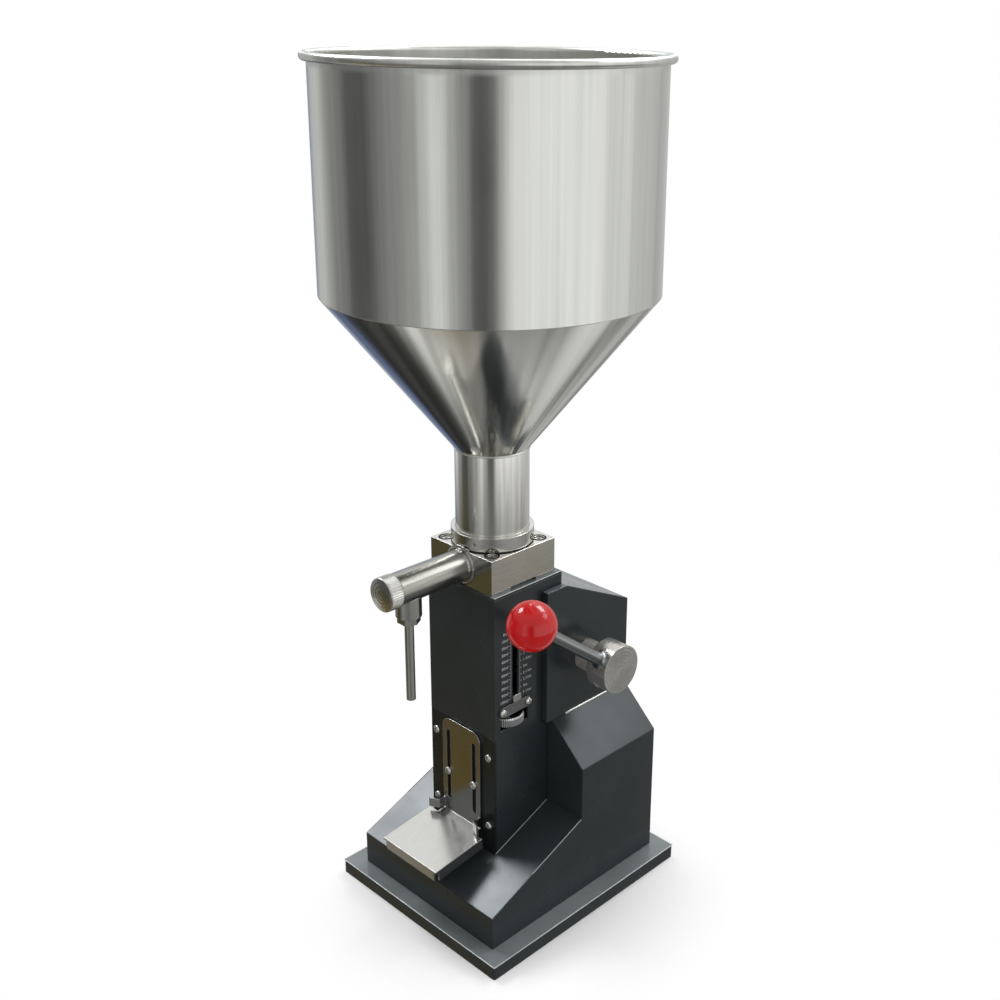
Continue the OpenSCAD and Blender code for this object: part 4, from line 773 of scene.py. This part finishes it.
fwd = Vector((-math.sin(YAW) * math.cos(PITCH), math.cos(YAW) * math.cos(PITCH), -math.sin(PITCH)))
right = Vector((math.cos(YAW), math.sin(YAW), 0))
up = right.cross(fwd)
cam_x = right * math.cos(ROLL) + up * math.sin(ROLL)
cam_y = up * math.cos(ROLL) - right * math.sin(ROLL)
cam_data = bpy.data.cameras.new("camera")
cam_data.sensor_width = SENSOR
cam_data.sensor_fit = "HORIZONTAL"
cam_data.lens = SENSOR * FOCAL_WIDTHS
cam_data.shift_x = SHIFT
cam_data.shift_y = SHIFT
cam_data.clip_start = 0.05
cam_data.clip_end = 50.0
turn = Matrix((cam_x, cam_y, -fwd)).transposed().to_4x4()
turn.translation = CAMERA_AT * MM
cam = bpy.data.objects.new("camera", cam_data)
cam.matrix_world = turn
bpy.context.scene.camera = link(cam)

# ---------------------------------------------------------------- room

world = bpy.data.worlds.new("studio")
bpy.context.scene.world = world
world.use_nodes = True
world.node_tree.nodes.clear()
room = Tree(world.node_tree)
split = room.add("ShaderNodeSeparateXYZ", Vector=room.add("ShaderNodeTexCoord").outputs["Generated"])
azimuth = room.span(room.math("ARCTAN2", split.outputs["Y"], split.outputs["X"]), -math.pi, math.pi)
# How much blue a plain level of the room has
BLUE_SHARE = 0.97


def fields(*rows):
    """Soft upright light and dark fields round the room: azimuth in degrees, level or colour."""
    stops = []
    for deg, level in rows:
        colour = level if isinstance(level, tuple) else (level, level, level * BLUE_SHARE)
        stops.append(((deg + 180) / 360, colour))
    return room.ramp(azimuth, stops, "EASE")


def by_height(low, high, start, end):
    """Runs from low to high between two heights of the direction looked in."""
    return room.mix(room.span(split.outputs["Z"], start, end, easing="SMOOTHSTEP"), low, high)


low_level = fields(
    (-180, 0.06), (-175, 0.05), (-171, 0.16), (-167.5, 0.60), (-163, 1.05), (-157, 0.60),
    (-150, (0.22, 0.17, 0.06)), (-140, (0.17, 0.115, 0.025)), (-126, (0.14, 0.10, 0.025)),
    (-112, 0.16), (-90, 0.30), (-60, 0.22), (-38, 0.18), (0, 0.26), (30, 0.30), (43, 0.17),
    (56, 0.24), (74, 0.46), (80, 0.90), (88, 0.80), (93, 0.66), (97.5, 0.22), (103, 0.55),
    (109, 0.70), (120, 0.42), (133, 0.20), (145, 0.05), (156, (0.20, 0.25, 0.42)),
    (163, (0.14, 0.18, 0.32)), (169, 0.04), (180, 0.06))
mid_level = fields(
    (-180, 0.22), (-163, 0.22), (-152, (0.12, 0.11, 0.06)), (-140, (0.09, 0.080, 0.032)),
    (-126, (0.06, 0.055, 0.03)), (-112, 0.12), (-90, 0.30), (-60, 0.22), (-38, 0.18), (0, 0.26),
    (30, 0.30), (38, (0.34, 0.30, 0.29)), (44, (0.33, 0.31, 0.28)), (50, (0.28, 0.285, 0.25)),
    (60, 0.27), (82, 0.40), (105, 0.55), (120, 0.30), (138, 0.50), (150, (0.52, 0.58, 0.68)),
    (160, (0.16, 0.20, 0.34)), (170, 0.08), (180, 0.16))
eye_level = fields(
    (-180, 0.80), (-172, 0.62), (-163, 0.36), (-152, 0.34), (-143, 0.10), (-124, 0.09),
    (-117, 0.28), (-106, 0.32), (-99, 0.46), (-91, 0.34), (-84, 0.88), (-75, 1.08), (-67, 0.55),
    (-59, 0.42), (-54, 0.10), (-41, 0.09), (-36, 0.50), (-29, 1.06), (-13, 1.16), (22, 1.16),
    (34, 0.98), (40, 0.84), (50, 1.06), (61, 0.76), (76, 0.68), (94, 0.56), (120, 0.62),
    (135, (0.92, 0.94, 0.97)), (146, (0.46, 0.50, 0.60)), (158, (0.30, 0.33, 0.42)), (170, 0.72),
    (180, 0.80))
high_level = fields(
    (-180, 0.95), (-150, 0.66), (40, 0.66), (62, 1.3), (100, 1.5), (116, 1.4), (130, 1.45),
    (150, 1.45), (180, 0.95))
walls = by_height(low_level, mid_level, -0.56, -0.46)
walls = by_height(walls, eye_level, -0.40, -0.32)
walls = by_height(walls, high_level, 0.25, 0.60)


def light_of(colour, strength=1.0):
    return room.add("ShaderNodeBackground", Color=colour, Strength=strength).outputs[0]


# Mirrors see the room, other surfaces get plain light, and the background is white
path = room.add("ShaderNodeLightPath")
lit = room.mix_shaders(path.outputs["Is Glossy Ray"], light_of((1, 1, 1, 1), 0.62), light_of(walls))
seen = room.math("MAXIMUM", path.outputs["Is Camera Ray"], path.outputs["Is Transmission Ray"])
room.add("ShaderNodeOutputWorld", Surface=room.mix_shaders(seen, lit, light_of((1, 1, 1, 1))))

AIM = Vector((0, 0, 0.2))


def soft_light(name, toward, far, size, level):
    """Rectangular soft box in a direction from the machine, in metres, with a brightness level."""
    data = bpy.data.lights.new(name, "AREA")
    data.shape = "RECTANGLE"
    data.size, data.size_y = size
    data.energy = level * 4 * size[0] * size[1]
    obj = bpy.data.objects.new(name, data)
    obj.location = AIM + Vector(toward).normalized() * far
    obj.rotation_euler = (AIM - obj.location).to_track_quat("-Z", "Y").to_euler()
    link(obj)


soft_light("key", (-0.63, -0.095, 0.77), 2.2, (0.80, 0.80), 9.0)
soft_light("side", (0.50, 0.57, 0.64), 2.4, (0.9, 0.7), 2.0)
soft_light("rim", (0.01, 0.63, 0.77), 2.4, (1.2, 0.7), 6.5)

# Pale floor that fades out round the machine, in metres, and that mirrors don't see
FADE_START, FADE_END, FLOOR_R, FLOOR_DROP = 0.10, 0.21, 6.0, 0.0002
m = Material("floor")
m.set(Base_Color=m.ramp(m.noise(1.5), [(0.0, (0.93, 0.93, 0.93)), (1.0, (0.95, 0.95, 0.95))]),
      Roughness=0.9)
far = m.vector("LENGTH", m.coord).outputs["Value"]
hidden = m.math("MAXIMUM", m.span(far, FADE_START, FADE_END, easing="SMOOTHSTEP"),
                m.add("ShaderNodeLightPath").outputs["Is Glossy Ray"])
clear = m.add("ShaderNodeBsdfTransparent").outputs[0]
m.put(m.tree.nodes["Material Output"], "Surface", m.mix_shaders(hidden, m.bsdf.outputs[0], clear))
bm = bmesh.new()
bmesh.ops.create_circle(bm, cap_ends=True, radius=FLOOR_R, segments=96)
mesh = mesh_of(bm, "floor")
mesh.materials.append(m.mat)
floor = link(bpy.data.objects.new("floor", mesh))
floor.location.z = -FLOOR_DROP

bpy.context.scene.view_settings.view_transform = "Standard"
